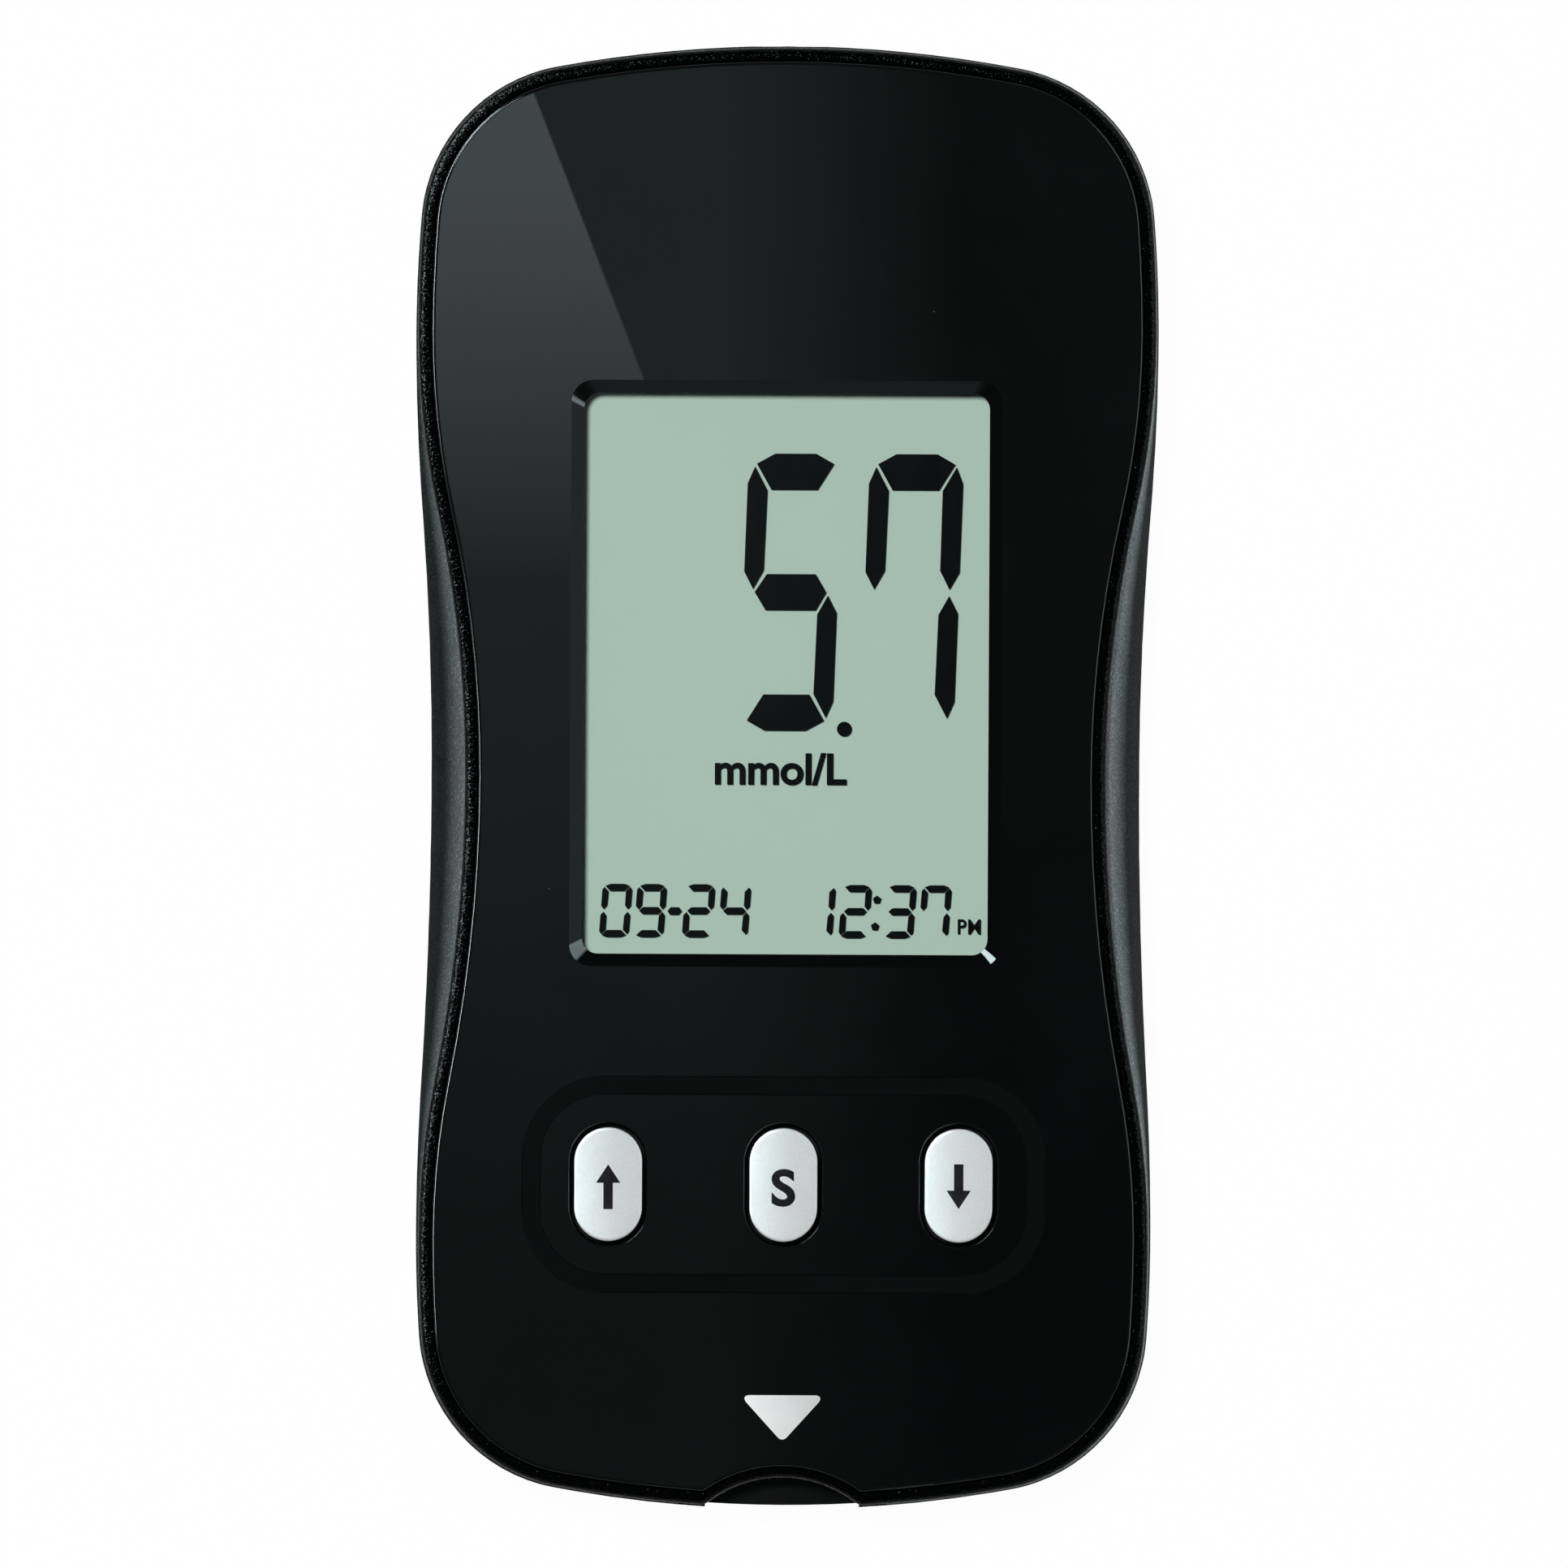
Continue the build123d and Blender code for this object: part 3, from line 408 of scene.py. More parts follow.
def makeWindowPlastic(look):
    material, tree, skin = startMaterial("clearWindow")
    feed(tree, look["tint"], skin.inputs["Base Color"])
    feed(tree, look["glare"], skin.inputs["Specular Tint"])
    skin.inputs["Roughness"].default_value = look["rough"]
    skin.inputs["IOR"].default_value = acrylic
    skin.inputs["Transmission Weight"].default_value = 1.0
    # lamps shine through it, as they do through a thin flat pane
    through = tree.nodes.new("ShaderNodeBsdfTransparent")
    feed(tree, look["tint"], through.inputs[0])
    ray = tree.nodes.new("ShaderNodeLightPath").outputs
    mixOver(tree, ray["Is Shadow Ray"], skin, through)
    return material


# the film and the glasses of the display
filmLook = {
    "colour": (0.05, 0.06, 0.055), "pale": (0.08, 0.09, 0.085), "cloud": 900.0,
    "alpha": 0.01, "rough": 0.35,
}
cellGlassLook = {
    "colour": (0.1, 0.12, 0.11), "pale": (0.14, 0.16, 0.15), "cloud": 500.0,
    "alpha": 0.006, "rough": 0.08,
}


def makeThinClear(name, look):
    material, tree, skin = startMaterial(name)
    cloud = noise(tree, objectPoint(tree), look["cloud"], wideNoise)
    feed(tree, mixColour(tree, cloud, look["colour"], look["pale"]), skin.inputs["Base Color"])
    skin.inputs["Roughness"].default_value = look["rough"]
    skin.inputs["Alpha"].default_value = look["alpha"]
    return material


# the grey-green film behind the display
reflectorLook = {
    "colour": (0.42, 0.548, 0.482), "pale": (0.434, 0.566, 0.497), "fleck": 9000.0,
    "depth": 0.000004, "cloud": 300.0, "smooth": 0.45, "rough": 0.6,
}


def makeReflector(look):
    material, tree, skin = startMaterial("satinReflector")
    spot = objectPoint(tree)
    fleck = noise(tree, spot, look["fleck"])
    feed(tree, paled(tree, fleck, look), skin.inputs["Base Color"])
    feed(tree, roughened(tree, noise(tree, spot, look["cloud"]), look), skin.inputs["Roughness"])
    bumpInto(tree, skin, fleck, look["depth"])
    return material


# the lacquered keys: silver on the cap, bare dark plastic from the paint line down
keyLook = {
    "colour": (0.84, 0.87, 0.865), "pale": (0.91, 0.935, 0.93), "fleck": 9000.0,
    "depth": 0.0000025, "metal": 0.45, "haze": 260.0, "smooth": 0.44, "rough": 0.5,
    "bare": (0.01, 0.01, 0.011), "paintZ": (13.9 * mm, 14.0 * mm),
    "dustScale": 500.0, "dustAmount": 0.1, "dustSpeck": 0.02, "dustColour": (0.5, 0.5, 0.5),
}


def makeKeyLacquer(look):
    material, tree, skin = startMaterial("satinSilver")
    spot = objectPoint(tree)
    fleck = noise(tree, spot, look["fleck"], fineNoise)
    painted = remap(tree, axes(tree, spot)["Z"], *look["paintZ"])
    colour = mixColour(tree, painted, look["bare"], paled(tree, fleck, look))
    patch = place(tree, handling, Scale=look["haze"])["Patch"]
    dusted(tree, skin, colour, roughened(tree, patch, look, (0.0, 1.0), smooth=False), look)
    feed(tree, times(tree, painted, look["metal"]), skin.inputs["Metallic"])
    bumpInto(tree, skin, fleck, look["depth"])
    return material


# plain moulded and rubber parts inside
plasticLooks = {
    "holder": {
        "colour": (0.72, 0.72, 0.7), "pale": (0.8, 0.8, 0.78),
        "grainScale": 2600.0, "grainDepth": 0.00001, "smooth": 0.4, "rough": 0.55,
    },
    "connector": {
        "colour": (0.66, 0.62, 0.52), "pale": (0.74, 0.71, 0.62),
        "grainScale": 2600.0, "grainDepth": 0.00001, "smooth": 0.35, "rough": 0.5,
    },
    "socket": {
        "colour": (0.012, 0.012, 0.013), "pale": (0.024, 0.024, 0.025),
        "grainScale": 3000.0, "grainDepth": 0.00001, "smooth": 0.35, "rough": 0.5,
    },
    "port": {
        "colour": (0.003, 0.003, 0.0032), "pale": (0.005, 0.005, 0.0053),
        "grainScale": 4000.0, "grainDepth": 0.00002, "smooth": 0.3, "rough": 0.45,
    },
    "chip": {
        "colour": (0.02, 0.02, 0.021), "pale": (0.036, 0.036, 0.037),
        "grainScale": 5000.0, "grainDepth": 0.000008, "smooth": 0.5, "rough": 0.65,
    },
    "gasket": {
        "colour": (0.012, 0.012, 0.012), "pale": (0.03, 0.03, 0.03),
        "grainScale": 4500.0, "grainDepth": 0.00006, "smooth": 0.8, "rough": 0.95,
    },
    "silicone": {
        "colour": (0.66, 0.67, 0.67), "pale": (0.74, 0.75, 0.75),
        "grainScale": 1500.0, "grainDepth": 0.000006, "smooth": 0.42, "rough": 0.55,
    },
    "carbon": {
        "colour": (0.02, 0.02, 0.02), "pale": (0.04, 0.04, 0.04),
        "grainScale": 6000.0, "grainDepth": 0.00001, "smooth": 0.6, "rough": 0.75,
    },
    "ceramic": {
        "colour": (0.42, 0.29, 0.17), "pale": (0.58, 0.44, 0.28),
        "grainScale": 7000.0, "grainDepth": 0.000006, "smooth": 0.4, "rough": 0.6,
    },
}


def makeMoulded(name, look):
    material, tree, skin = startMaterial(name + "Moulded")
    grain = place(tree, mouldGrain, Scale=look["grainScale"])
    feed(tree, paled(tree, grain["Mottle"], look), skin.inputs["Base Color"])
    feed(tree, roughened(tree, grain["Height"], look, heightRange), skin.inputs["Roughness"])
    bumpInto(tree, skin, grain["Height"], look["grainDepth"])
    return material


# cells, springs, plating, cans and screws
metalLooks = {
    "coin": {
        "colour": (0.6, 0.61, 0.62), "pale": (0.76, 0.77, 0.78), "lineScale": 3000.0,
        "along": 0.4, "lineDepth": 0.000002, "smooth": 0.2, "rough": 0.34,
    },
    "nickel": {
        "colour": (0.58, 0.56, 0.52), "pale": (0.74, 0.72, 0.68), "lineScale": 5000.0,
        "along": 0.05, "lineDepth": 0.000002, "smooth": 0.24, "rough": 0.4,
    },
    "tinned": {
        "colour": (0.62, 0.62, 0.6), "pale": (0.78, 0.78, 0.76), "lineScale": 3000.0,
        "along": 1.0, "lineDepth": 0.000003, "smooth": 0.3, "rough": 0.5,
    },
    "gilt": {
        "colour": (0.72, 0.5, 0.2), "pale": (0.92, 0.7, 0.34), "lineScale": 5000.0,
        "along": 0.05, "lineDepth": 0.000002, "smooth": 0.2, "rough": 0.34,
    },
    "can": {
        "colour": (0.56, 0.56, 0.57), "pale": (0.72, 0.72, 0.73), "lineScale": 2600.0,
        "along": 0.1, "lineDepth": 0.000002, "smooth": 0.25, "rough": 0.42,
    },
    "screw": {
        "colour": (0.05, 0.05, 0.055), "pale": (0.12, 0.12, 0.13), "lineScale": 4000.0,
        "along": 0.6, "lineDepth": 0.000003, "smooth": 0.28, "rough": 0.45,
    },
}


def makeMetal(name, look):
    material, tree, skin = startMaterial(name + "Metal")
    marks = place(tree, metalLines, Scale=look["lineScale"], Along=look["along"])
    feed(tree, paled(tree, marks["Cloud"], look), skin.inputs["Base Color"])
    feed(tree, roughened(tree, marks["Line"], look, lineRange), skin.inputs["Roughness"])
    skin.inputs["Metallic"].default_value = 1.0
    bumpInto(tree, skin, marks["Line"], look["lineDepth"])
    return material


# the circuit board: solder mask with copper runs under it
boardLook = {
    "mask": (0.012, 0.12, 0.05), "run": (0.03, 0.22, 0.09), "turn": math.pi / 4,
    "runs": {
        "Scale": 420.0, "Mortar Size": 0.08, "Mortar Smooth": 0.1,
        "Brick Width": 2.6, "Row Height": 0.35,
    },
    "depth": 0.00002, "cloud": 2500.0, "smooth": 0.3, "rough": 0.45,
}


def makeBoard(look):
    material, tree, skin = startMaterial("solderMask")
    bricks = tree.nodes.new("ShaderNodeTexBrick")
    feed(tree, stretched(tree, objectPoint(tree), turn=look["turn"]), bricks.inputs["Vector"])
    for name, value in look["runs"].items():
        bricks.inputs[name].default_value = value
    run = bricks.outputs["Fac"]
    feed(tree, mixColour(tree, run, look["mask"], look["run"]), skin.inputs["Base Color"])
    mottle = place(tree, mouldGrain, Scale=look["cloud"])["Mottle"]
    feed(tree, roughened(tree, mottle, look), skin.inputs["Roughness"])
    bumpInto(tree, skin, run, look["depth"])
    return material


# rubber connector strips: fine dark and pale layers side by side
zebraLook = {
    "dark": (0.03, 0.03, 0.035), "pale": (0.45, 0.45, 0.47), "pitch": 0.2 * mm, "edge": (-0.2, 0.2),
    "depth": 0.00001, "grainScale": 4000.0, "smooth": 0.65, "rough": 0.85,
}


def makeZebra(look):
    material, tree, skin = startMaterial("layeredRubber")
    across = axes(tree, objectPoint(tree))["X"]
    wave = calc(tree, "SINE", times(tree, across, 2 * math.pi / look["pitch"]))
    layer = remap(tree, wave, *look["edge"])
    feed(tree, mixColour(tree, layer, look["dark"], look["pale"]), skin.inputs["Base Color"])
    height = place(tree, mouldGrain, Scale=look["grainScale"])["Height"]
    feed(tree, roughened(tree, height, look, heightRange), skin.inputs["Roughness"])
    bumpInto(tree, skin, layer, look["depth"])
    return material


finish = {
    "case_front": makeRimPlastic(rimLook),
    "case_back": makeBackPlastic(backLook),
    "panel": makePanelPlastic(panelLook),
    "window": makeWindowPlastic(windowLook),
    "film": makeThinClear("polariser", filmLook),
    "cell_glass": makeThinClear("cellGlass", cellGlassLook),
    "reflector": makeReflector(reflectorLook),
    "key": makeKeyLacquer(keyLook),
    "board": makeBoard(boardLook),
    "zebra": makeZebra(zebraLook),
}
finish.update({name: makeMoulded(name, look) for name, look in plasticLooks.items()})
finish.update({name: makeMetal(name, look) for name, look in metalLooks.items()})

for part in frame["record"]["subparts"]:
    for slot in nodes[part["node"]].material_slots:
        slot.material = finish[part["material_slot"]]


def makeSkirt(key):
    mesh = nodes["web_" + key].data.copy()
    mesh.name = "skirt_" + key
    skirt = bpy.data.objects.new("skirt_" + key, mesh)
    bpy.context.scene.collection.objects.link(skirt)
    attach(skirt, "meter")
    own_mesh(skirt)
    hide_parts("web_" + key)


for key in keys:
    makeSkirt(key)
print("skirts made")


# printed and lit marks: thin plates, made flat and then put in their places

inkGrain = 6000.0
inkLooks = {
    "segment": {
        "colour": (0.0012, 0.0016, 0.0022), "pale": (0.0024, 0.003, 0.0038),
        "smooth": 0.5, "rough": 0.6, "shine": 0.05,
    },
    "legend": {
        "colour": (0.004, 0.004, 0.0045), "pale": (0.01, 0.01, 0.011),
        "smooth": 0.35, "rough": 0.5, "shine": 0.3,
    },
    "pointer": {
        "colour": (0.48, 0.495, 0.495), "pale": (0.83, 0.85, 0.85),
        "fade": (3.0 * mm, -2.6 * mm), "mottle": 0.1,
        "smooth": 0.4, "rough": 0.5, "shine": 0.5,
    },
}


def makeInk(name, look):
    material, tree, skin = startMaterial(name + "Ink")
    grain = place(tree, mouldGrain, Scale=inkGrain)
    share = remap(tree, grain["Mottle"], *midRange)
    if "fade" in look:  # paler towards the left
        across = axes(tree, objectPoint(tree))["X"]
        leftward = remap(tree, across, *look["fade"], 0.0, 1 - look["mottle"], smooth=False)
        share = calc(tree, "MULTIPLY_ADD", share, look["mottle"], leftward)
    feed(tree, mixColour(tree, share, look["colour"], look["pale"]), skin.inputs["Base Color"])
    feed(tree, roughened(tree, grain["Height"], look, heightRange), skin.inputs["Roughness"])
    skin.inputs["Specular IOR Level"].default_value = look["shine"]
    return material


ink = {name: makeInk(name, look) for name, look in inkLooks.items()}


def addFace(bm, corners, shift=(0, 0), lean=0.0):
    # one flat face from a few corners in millimetres, leaning over to the right as it rises
    right, up = shift
    spots = [((x + y * lean + right) * mm, (y + up) * mm, 0) for x, y in corners]
    bm.faces.new([bm.verts.new(spot) for spot in spots])


def addDot(bm, x, y, radius, corners):
    spot = Matrix.Translation((x * mm, y * mm, 0))
    bmesh.ops.create_circle(bm, cap_ends=True, radius=radius * mm, segments=corners, matrix=spot)


def digitCorners(look):
    # the seven bars of a digit round its middle, each named as on a data sheet;
    # the fractions are how far their slanted ends reach into a bar, a post or a gap
    w, h = look["width"] / 2, look["height"] / 2
    bar, post, gap, cut = look["bar"], look["post"], look["gap"], look["cut"]
    tipX, tipY = post * 0.42, bar * 0.28
    top = [
        (-w + tipX, h - tipY), (-w + cut, h), (w - cut, h),
        (w - tipX, h - tipY), (w - post - gap, h - bar), (-w + post + gap, h - bar),
    ]
    upperLeft = [
        (-w + tipX - gap * 0.4, h - tipY - gap * 0.7), (-w, h - bar * 0.82),
        (-w, bar / 2 + gap * 0.6), (-w + post * 0.47, gap * 0.8),
        (-w + post - gap * 0.15, bar / 2 + gap), (-w + post, h - bar - gap * 0.1),
    ]
    middle = [
        (-w + post * 0.56, 0), (-w + post + gap * 0.7, bar / 2), (w - post - gap * 0.6, bar / 2),
        (w - post * 0.56, 0), (w - post - gap * 0.3, -bar / 2), (-w + post + gap * 0.7, -bar / 2),
    ]
    right = [(-x, y) for x, y in upperLeft]
    return {
        "a": top, "b": right, "c": [(x, -y) for x, y in right], "d": [(x, -y) for x, y in top],
        "e": [(x, -y) for x, y in upperLeft], "f": upperLeft, "g": middle,
    }


segmentNames = {
    "0": "abcdef", "1": "bc", "2": "abged", "3": "abgcd",
    "4": "fgbc", "5": "afgcd", "7": "fabc", "9": "abfgcd",
}


def addDigits(bm, digits, look):
    bars = digitCorners(look)
    for digit, x in digits:
        for name in segmentNames[digit]:
            addFace(bm, bars[name], (x, look["y"]), look["lean"])


def thicken(bm, thickness):
    # turns flat faces into closed plates, half of the thickness above them and half below
    bmesh.ops.recalc_face_normals(bm, faces=bm.faces[:])
    for face in bm.faces:
        if face.normal.z < 0:
            face.normal_flip()
    bmesh.ops.translate(bm, verts=bm.verts[:], vec=(0, 0, -thickness / 2))
    made = bmesh.ops.extrude_face_region(bm, geom=bm.faces[:], use_keep_orig=True)
    lifted = [v for v in made["geom"] if isinstance(v, bmesh.types.BMVert)]
    bmesh.ops.translate(bm, verts=lifted, vec=(0, 0, thickness))
    bmesh.ops.recalc_face_normals(bm, faces=bm.faces[:])


def finishMark(bm, name, material, body):
    mesh = bpy.data.meshes.new(name)
    bm.to_mesh(mesh)
    bm.free()
    for face in mesh.polygons:
        face.use_smooth = False
    piece = bpy.data.objects.new(name, mesh)
    bpy.context.scene.collection.objects.link(piece)
    mesh.materials.append(material)
    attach(piece, body)


letterSteps, weldWithin = 6, 0.5e-6


def addText(bm, words, look):
    # built-in lettering, stretched to the width and height it has in the look
    curve = bpy.data.curves.new("lettering", "FONT")
    curve.body = words
    curve.offset = look["weight"]
    curve.space_character = look.get("spacing", 1.0)
    curve.resolution_u = letterSteps
    holder = bpy.data.objects.new("lettering", curve)
    bpy.context.scene.collection.objects.link(holder)
    shown = holder.evaluated_get(bpy.context.evaluated_depsgraph_get())
    mesh = bpy.data.meshes.new_from_object(shown)
    bpy.data.objects.remove(holder)
    bpy.data.curves.remove(curve)
    xs, ys = [v.co.x for v in mesh.vertices], [v.co.y for v in mesh.vertices]
    low, high = Vector((min(xs), min(ys), 0)), Vector((max(xs), max(ys), 0))
    wide = look["width"] * mm / (high.x - low.x)
    tall = look["height"] * mm / (high.y - low.y)
    centred = Matrix.Translation(-(low + high) / 2)
    mesh.transform(Matrix.Diagonal((wide, tall, 1, 1)) @ centred)
    mesh.transform(Matrix.Translation((look["x"] * mm, look["y"] * mm, 0)))
    bm.from_mesh(mesh)
    bpy.data.meshes.remove(mesh)
    bmesh.ops.remove_doubles(bm, verts=bm.verts[:], dist=weldWithin)


# the reading and the date and time, on the seam between the two glasses
displayLook = {
    "thickness": 0.02,
    "reading": {
        "width": 5.97, "height": 17.58, "bar": 2.3, "post": 1.27, "gap": 0.25, "cut": 1.68,
        "lean": 0.035, "y": 11.77, "digits": (("5", 0.26), ("7", 7.95)),
        "point": (3.72, 3.1), "pointRadius": 0.47, "pointCorners": 32,
    },
    "small": {
        "width": 1.89, "height": 3.38, "bar": 0.455, "post": 0.395, "gap": 0.1, "cut": 0.5,
        "lean": 0.075, "y": -8.47,
        "date": (("0", -10.73), ("9", -8.53), ("2", -5.47), ("4", -3.19)),
        "dash": (-6.99, -8.49), "dashSize": (0.91, 0.48), "dashCut": 0.6,
        "clock": (("1", 2.18), ("2", 4.47), ("3", 7.3), ("7", 9.53)),
        "dots": ((5.85, -7.72), (5.73, -9.42)), "dotRadius": 0.28, "dotCorners": 5,
    },
    "unit": {
        "words": "mmol/L", "width": 8.36, "height": 2.06, "x": -0.3, "y": 0.555,
        "weight": 0.023, "spacing": 0.98,
    },
    "half": {
        "words": "PM", "width": 1.45, "height": 0.95, "x": 11.7, "y": -9.4,
        "weight": 0.012, "spacing": 1.08,
    },
}


def makeDisplayMarks(look):
    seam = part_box("lcd_rear_glass")[1].z

    def done(bm, name):
        thicken(bm, look["thickness"] * mm)
        bmesh.ops.translate(bm, verts=bm.verts[:], vec=(0, 0, seam))
        finishMark(bm, name, ink["segment"], "meter")

    big, small = look["reading"], look["small"]
    bm = bmesh.new()
    addDigits(bm, big["digits"], big)
    addDot(bm, *big["point"], big["pointRadius"], big["pointCorners"])
    done(bm, "lcd_reading")

    bm = bmesh.new()
    addDigits(bm, small["date"], small)
    w, h = small["dashSize"][0] / 2, small["dashSize"][1] / 2
    neck = w * small["dashCut"]
    dash = [(-w, 0), (-neck, h), (neck, h), (w, 0), (neck, -h), (-neck, -h)]
    addFace(bm, dash, small["dash"], small["lean"])
    done(bm, "lcd_date")

    bm = bmesh.new()
    addDigits(bm, small["clock"], small)
    for dot in small["dots"]:
        addDot(bm, *dot, small["dotRadius"], small["dotCorners"])
    done(bm, "lcd_clock")

    for name in ("unit", "half"):
        bm = bmesh.new()
        addText(bm, look[name]["words"], look[name])
        done(bm, "lcd_" + name)


makeDisplayMarks(displayLook)
print("display marks made")


# arrows and the letter on the keys, bent to the keys' crowns
legendLook = {
    "crown": 8.0, "lift": 0.008, "sink": 0.012, "cutFrom": -1.0, "cutTo": 1.0, "step": 0.15,
    "arrow": {"length": 2.84, "head": 1.17, "width": 1.54, "shaft": 0.6},
    "letter": {"width": 1.52, "height": 2.4, "x": 0, "y": 0, "weight": 0.03},
    "up": {"turn": 1, "y": -0.16}, "select": {"y": -0.18}, "down": {"turn": -1, "y": -0.05},
}


def makeLegend(key, look):
    low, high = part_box("key_" + key)
    centre = (low + high) / 2
    bm = bmesh.new()
    if key == "select":
        addText(bm, "S", look["letter"])
    else:
        arrow, turn = look["arrow"], look[key]["turn"]
        tip, w, s = arrow["length"] / 2, arrow["width"] / 2, arrow["shaft"] / 2
        neck = tip - arrow["head"]
        shape = ((0, tip), (-w, neck), (-s, neck), (-s, -tip), (s, -tip), (s, neck), (w, neck))
        addFace(bm, [(x * turn, y * turn) for x, y in shape])
    thicken(bm, (look["lift"] + look["sink"]) * mm)
    bmesh.ops.triangulate(bm, faces=bm.faces[:])
    x = look["cutFrom"]
    while x < look["cutTo"]:  # cuts across, so that the print can bend
        everything = bm.verts[:] + bm.edges[:] + bm.faces[:]
        bmesh.ops.bisect_plane(bm, geom=everything, plane_co=(x * mm, 0, 0), plane_no=(1, 0, 0))
        x += look["step"]
    crown = look["crown"] * mm
    above = (look["lift"] - look["sink"]) / 2 * mm
    for vert in bm.verts:
        vert.co.z += high.z - crown + math.sqrt(crown ** 2 - vert.co.x ** 2) + above
    bmesh.ops.translate(bm, verts=bm.verts[:], vec=(centre.x, centre.y + look[key]["y"] * mm, 0))
    finishMark(bm, "legend_" + key, ink["legend"], "key_" + key)


for key in keys:
    makeLegend(key, legendLook)


# the pointer that shows where the strip goes in
pointerLook = {
    "width": 5.4, "height": 2.98, "y": -39.12, "topCut": 0.64, "tipCut": 0.41, "cutSteps": 8,
    "lift": 0.012, "sink": 0.012,
}


def makePointer(look):
    bm = bmesh.new()
    w = look["width"] / 2
    addFace(bm, [(0, -look["height"]), (w, 0), (-w, 0)])
    bm.verts.ensure_lookup_table()
    tip, ends = bm.verts[0], bm.verts[1:3]
    for corners, cut in ((ends, look["topCut"]), ([tip], look["tipCut"])):
        bmesh.ops.bevel(
            bm, geom=corners, affect="VERTICES", offset=cut * mm,
            segments=look["cutSteps"], profile=0.5, material=-1,
        )
    thicken(bm, (look["lift"] + look["sink"]) * mm)
    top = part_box("front_panel")[1].z + (look["lift"] - look["sink"]) / 2 * mm
    bmesh.ops.translate(bm, verts=bm.verts[:], vec=(0, look["y"] * mm, top))
    finishMark(bm, "strip_pointer", ink["pointer"], "meter")


makePointer(pointerLook)
print("legends and pointer made")


# the floor: a white sheet that glows for the camera and faintly for mirror rays
floorLook = {
    "size": 8.0, "drop": 0.02 * mm, "colour": (0.25, 0.25, 0.25), "cloud": 30.0, "mottle": 0.985,
    "rough": 0.9, "glow": 1.05, "share": 0.93, "mirrored": 0.15,
    "bounce": 3.0, "bounceX": (0.0, 0.03),
}


def makeFloor(look):
    bm = bmesh.new()
    under = Matrix.Translation((0, 0, -look["drop"]))
    bmesh.ops.create_grid(bm, x_segments=4, y_segments=4, size=look["size"] / 2, matrix=under)
    mesh = bpy.data.meshes.new("floor")
    bm.to_mesh(mesh)
    bm.free()
    floor = bpy.data.objects.new("floor", mesh)
    bpy.context.scene.collection.objects.link(floor)
    material, tree, skin = startMaterial("paleFloor")
    spot = objectPoint(tree)
    dim = tuple(c * look["mottle"] for c in look["colour"])
    cloud = noise(tree, spot, look["cloud"], wideNoise)
    feed(tree, mixColour(tree, cloud, look["colour"], dim), skin.inputs["Base Color"])
    skin.inputs["Roughness"].default_value = look["rough"]
    skin.inputs["Specular IOR Level"].default_value = 0.0
    ray = tree.nodes.new("ShaderNodeLightPath").outputs
    straight = calc(tree, "MAXIMUM", ray["Is Camera Ray"], ray["Is Transmission Ray"])
    mirrored = times(tree, ray["Is Glossy Ray"], look["mirrored"])
    # towards the right it also glows for diffuse rays, and more, to light that side of the case
    rightward = remap(tree, axes(tree, spot)["X"], *look["bounceX"])
    bounced = times(tree, ray["Is Diffuse Ray"], rightward)
    seen = calc(tree, "MAXIMUM", calc(tree, "MAXIMUM", straight, mirrored), bounced)
    glow = tree.nodes.new("ShaderNodeEmission")
    strength = calc(tree, "MULTIPLY_ADD", bounced, look["bounce"], look["glow"])
    feed(tree, strength, glow.inputs["Strength"])
    mixOver(tree, times(tree, seen, look["share"]), skin, glow)
    mesh.materials.append(material)


makeFloor(floorLook)


# the camera looks straight down from a tripod
cameraLook = {
    "height": 2.0, "sharpAt": 7.0, "across": 99.7, "sensor": 36, "x": -0.086, "y": -0.4,
    "roll": 0.28,
}


def makeCamera(look):
    data = bpy.data.cameras.new("camera")
    data.sensor_width = look["sensor"]
    data.lens = look["sensor"] * look["height"] / (look["across"] * mm)
    camera = bpy.data.objects.new("camera", data)
    camera.location = (look["x"] * mm, look["y"] * mm, look["sharpAt"] * mm + look["height"])
    camera.rotation_euler = (0, 0, math.radians(look["roll"]))
    bpy.context.scene.collection.objects.link(camera)
    bpy.context.scene.camera = camera


makeCamera(cameraLook)


# the soft light overhead, a little to the upper left
lampLook = {"away": 1.2, "tilt": 7.5, "towards": 135.0, "across": 0.12, "level": 1.0}


def makeLamp(look):
    data = bpy.data.lights.new("softLamp", "AREA")
    data.shape = "DISK"
    data.size = look["across"]
    data.energy = look["level"] * math.pi ** 2 * look["away"] ** 2
    tilt, towards = math.radians(look["tilt"]), math.radians(look["towards"])
    lean = math.sin(tilt)
    way = Vector((lean * math.cos(towards), lean * math.sin(towards), math.cos(tilt)))
    lamp = bpy.data.objects.new("softLamp", data)
    lamp.location = way * look["away"]
    lamp.rotation_mode = "QUATERNION"
    lamp.rotation_quaternion = way.to_track_quat("Z", "Y")
    lamp.visible_glossy = False  # polished faces mirror the room instead
    lamp.visible_transmission = False  # the window already lets lamps through as a thin pane
    bpy.context.scene.collection.objects.link(lamp)


makeLamp(lampLook)


# the room that mirror rays meet: a dim ceiling with a pale card over one side, dark walls that
# are paler low at the lower right and white along the floor, and the lights below;
# every other ray meets plain walls
roomLook = {
    "reach": 1992.4, "lowest": 0.05, "tint": (0.83, 1.0, 1.02),
    "wall": 0.02, "side": (0.41, -0.21), "sideFade": (0.1, 0.35),
    "skirting": 0.9, "skirtingFade": (0.02, 0.07), "plain": 0.05, "plainSide": 2.0,
    "ceiling": 0.356, "across": (20.0, 24.0, 1.8), "acrossLeast": 0.17,
    "along": (-35.0, 22.0, 0.28), "hole": (0.04, 0.09),
    "card": 1.19, "cardEdge": (-8.66, 24.7, -0.39), "cardBlur": 0.08, "cardFade": (13.0, 38.0),
}

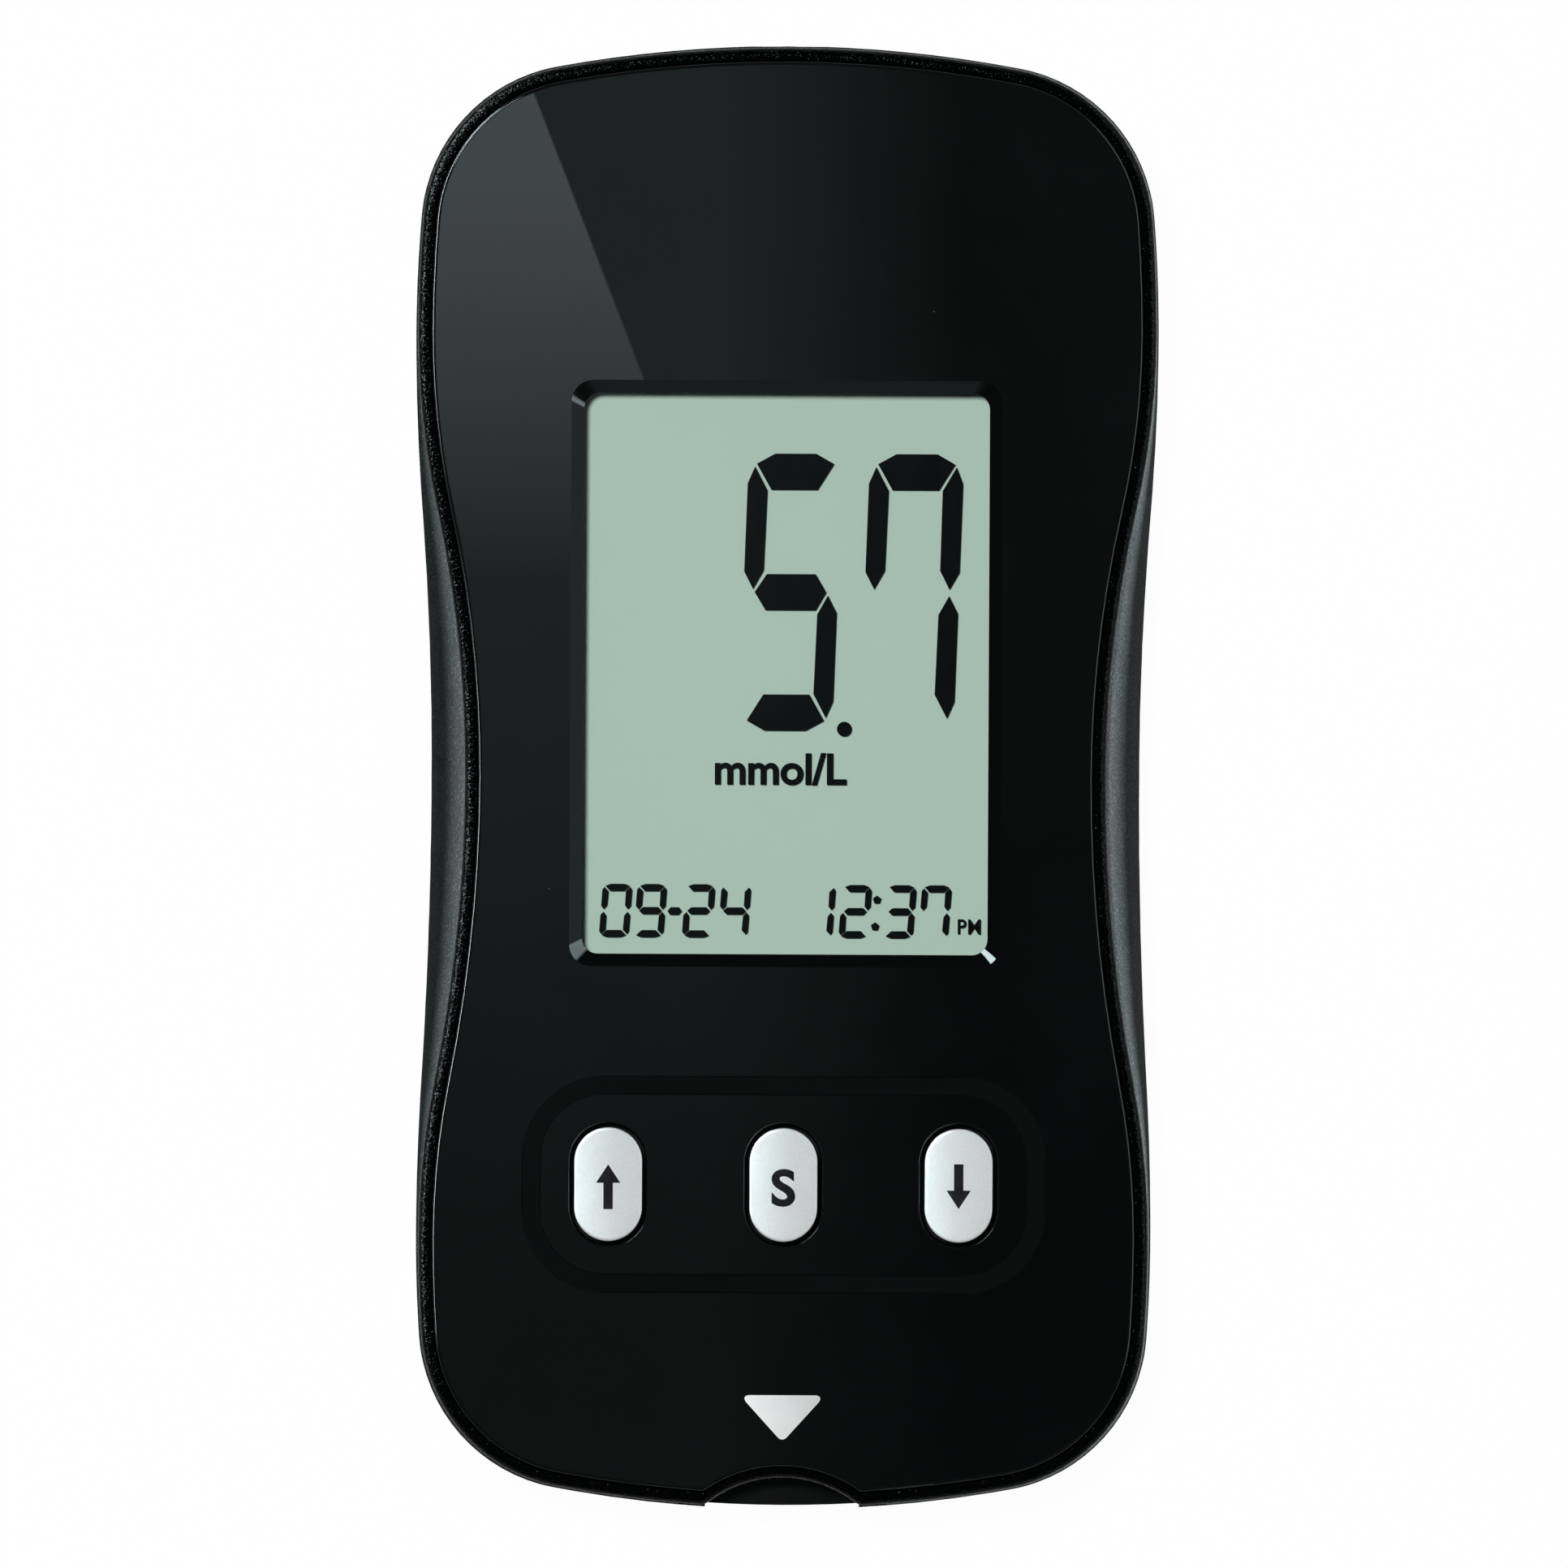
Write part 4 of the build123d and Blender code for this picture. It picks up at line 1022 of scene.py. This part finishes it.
# lights on the walls: middle azimuth, cosines of the fading side edges, and heights
glintLooks = {
    "strip": {  # on the rim's left edge
        "level": 85.0, "azimuth": 157.0, "half": (0.82, 0.97),
        "low": (0.33, 0.35), "high": (0.39, 0.41),
    },
    "gleam": {  # on the bevel of the display
        "level": 18.0, "azimuth": 135.0, "half": (0.984, 0.99),
        "low": (0.2, 0.22), "high": (0.36, 0.4),
    },
    "spark": {  # on the rounded edges of the key slots
        "level": 30.0, "azimuth": 135.0, "half": (0.94, 0.97),
        "low": (0.795, 0.8), "high": (0.84, 0.845),
    },
    "round": {  # faint and all the way round, for the rounded edge of the well
        "level": 0.045, "azimuth": 0.0, "half": (-3.0, -2.0),
        "low": (0.55, 0.65), "high": (0.95, 0.99),
    },
    "counter": {  # from the right, on the edges that face away from the others
        "level": 3.5, "azimuth": 15.0, "half": (0.8, 0.9),
        "low": (0.17, 0.2), "high": (0.32, 0.4),
    },
}


def bandOfLight(tree, way, look):
    # a patch of the wall round one azimuth, between two heights
    azimuth, rise = math.radians(look["azimuth"]), way["Z"]
    eastward = times(tree, way["X"], math.cos(azimuth))
    facing = plus(tree, eastward, times(tree, way["Y"], math.sin(azimuth)))
    flat = calc(tree, "SQRT", rest(tree, calc(tree, "POWER", rise, 2.0)))
    facing = calc(tree, "DIVIDE", facing, calc(tree, "MAXIMUM", flat, 0.01))
    above = remap(tree, rise, *look["low"])
    below = remap(tree, rise, *look["high"], 1.0, 0.0)
    return times(tree, above, below, remap(tree, facing, *look["half"]), look["level"])


def makeCeiling(tree, x, y, look):
    right, span, power = look["across"]
    share = calc(tree, "DIVIDE", calc(tree, "SUBTRACT", right, x), span, clamp=True)
    level = calc(tree, "MAXIMUM", calc(tree, "POWER", share, power), look["acrossLeast"])
    low, high, least = look["along"]
    ceiling = times(tree, level, remap(tree, y, low, high, least, 1.0), look["ceiling"])
    edgeX, edgeY, slope = look["cardEdge"]
    edge = plus(tree, times(tree, calc(tree, "SUBTRACT", y, edgeY), slope), edgeX)
    past = calc(tree, "SUBTRACT", x, edge)
    onCard = remap(tree, past, -look["cardBlur"], look["cardBlur"], 1.0, 0.0, smooth=False)
    fade = remap(tree, y, *look["cardFade"], 0.0, look["card"], smooth=False)
    return plus(tree, ceiling, times(tree, onCard, fade))


def makeRoom(look):
    world = bpy.data.worlds.new("room")
    world.use_nodes = True
    world.cycles.sampling_method = "NONE"
    bpy.context.scene.world = world
    tree = world.node_tree
    tree.nodes.clear()
    way = axes(tree, tree.nodes.new("ShaderNodeTexCoord").outputs["Generated"])
    rise = way["Z"]
    # millimetres along the ceiling, as a flat panel under the middle mirrors it
    up = calc(tree, "MAXIMUM", rise, look["lowest"])
    x = times(tree, calc(tree, "DIVIDE", way["X"], up), look["reach"])
    y = times(tree, calc(tree, "DIVIDE", way["Y"], up), look["reach"])
    overhead = makeCeiling(tree, x, y, look)
    # the walls, in two levels: mirrored, and plain
    sideX, sideY = look["side"]
    lean = plus(tree, times(tree, way["X"], sideX), times(tree, way["Y"], sideY))
    low = remap(tree, rise, *look["sideFade"], 1.0, 0.0)
    side = times(tree, calc(tree, "MAXIMUM", lean, 0.0), low)
    skirting = remap(tree, rise, *look["skirtingFade"], look["skirting"], 0.0)
    plain = calc(tree, "MULTIPLY_ADD", side, look["plainSide"], look["plain"])
    plain = calc(tree, "MAXIMUM", plain, skirting)
    wall = calc(tree, "MAXIMUM", plus(tree, side, look["wall"]), skirting)
    for glint in glintLooks.values():
        wall = plus(tree, wall, bandOfLight(tree, way, glint))
    # the ceiling fills the hole between the walls
    squares = plus(tree, calc(tree, "POWER", x, 2.0), calc(tree, "POWER", y, 2.0))
    start, stop = (share * look["reach"] for share in look["hole"])
    above = remap(tree, calc(tree, "SQRT", squares), start, stop, 1.0, 0.0)
    mirrored = plus(tree, times(tree, overhead, above), times(tree, wall, rest(tree, above)))
    ray = tree.nodes.new("ShaderNodeLightPath").outputs
    bounced = times(tree, ray["Is Glossy Ray"], rest(tree, ray["Is Transmission Ray"]))
    sky = tree.nodes.new("ShaderNodeBackground")
    feed(tree, mixColour(tree, bounced, (1.0, 1.0, 1.0), look["tint"]), sky.inputs["Color"])
    both = tree.nodes.new("ShaderNodeMix")
    for value, spot in zip((bounced, plain, mirrored), (both.inputs[n] for n in (0, 2, 3))):
        feed(tree, value, spot)
    feed(tree, both.outputs[0], sky.inputs["Strength"])
    feed(tree, sky.outputs[0], tree.nodes.new("ShaderNodeOutputWorld").inputs["Surface"])


makeRoom(roomLook)
scene = bpy.context.scene
scene.view_settings.view_transform = "Standard"
scene.cycles.transparent_max_bounces = 24  # window, films and glasses lie one over another
print("floor, camera, lamp and room made")
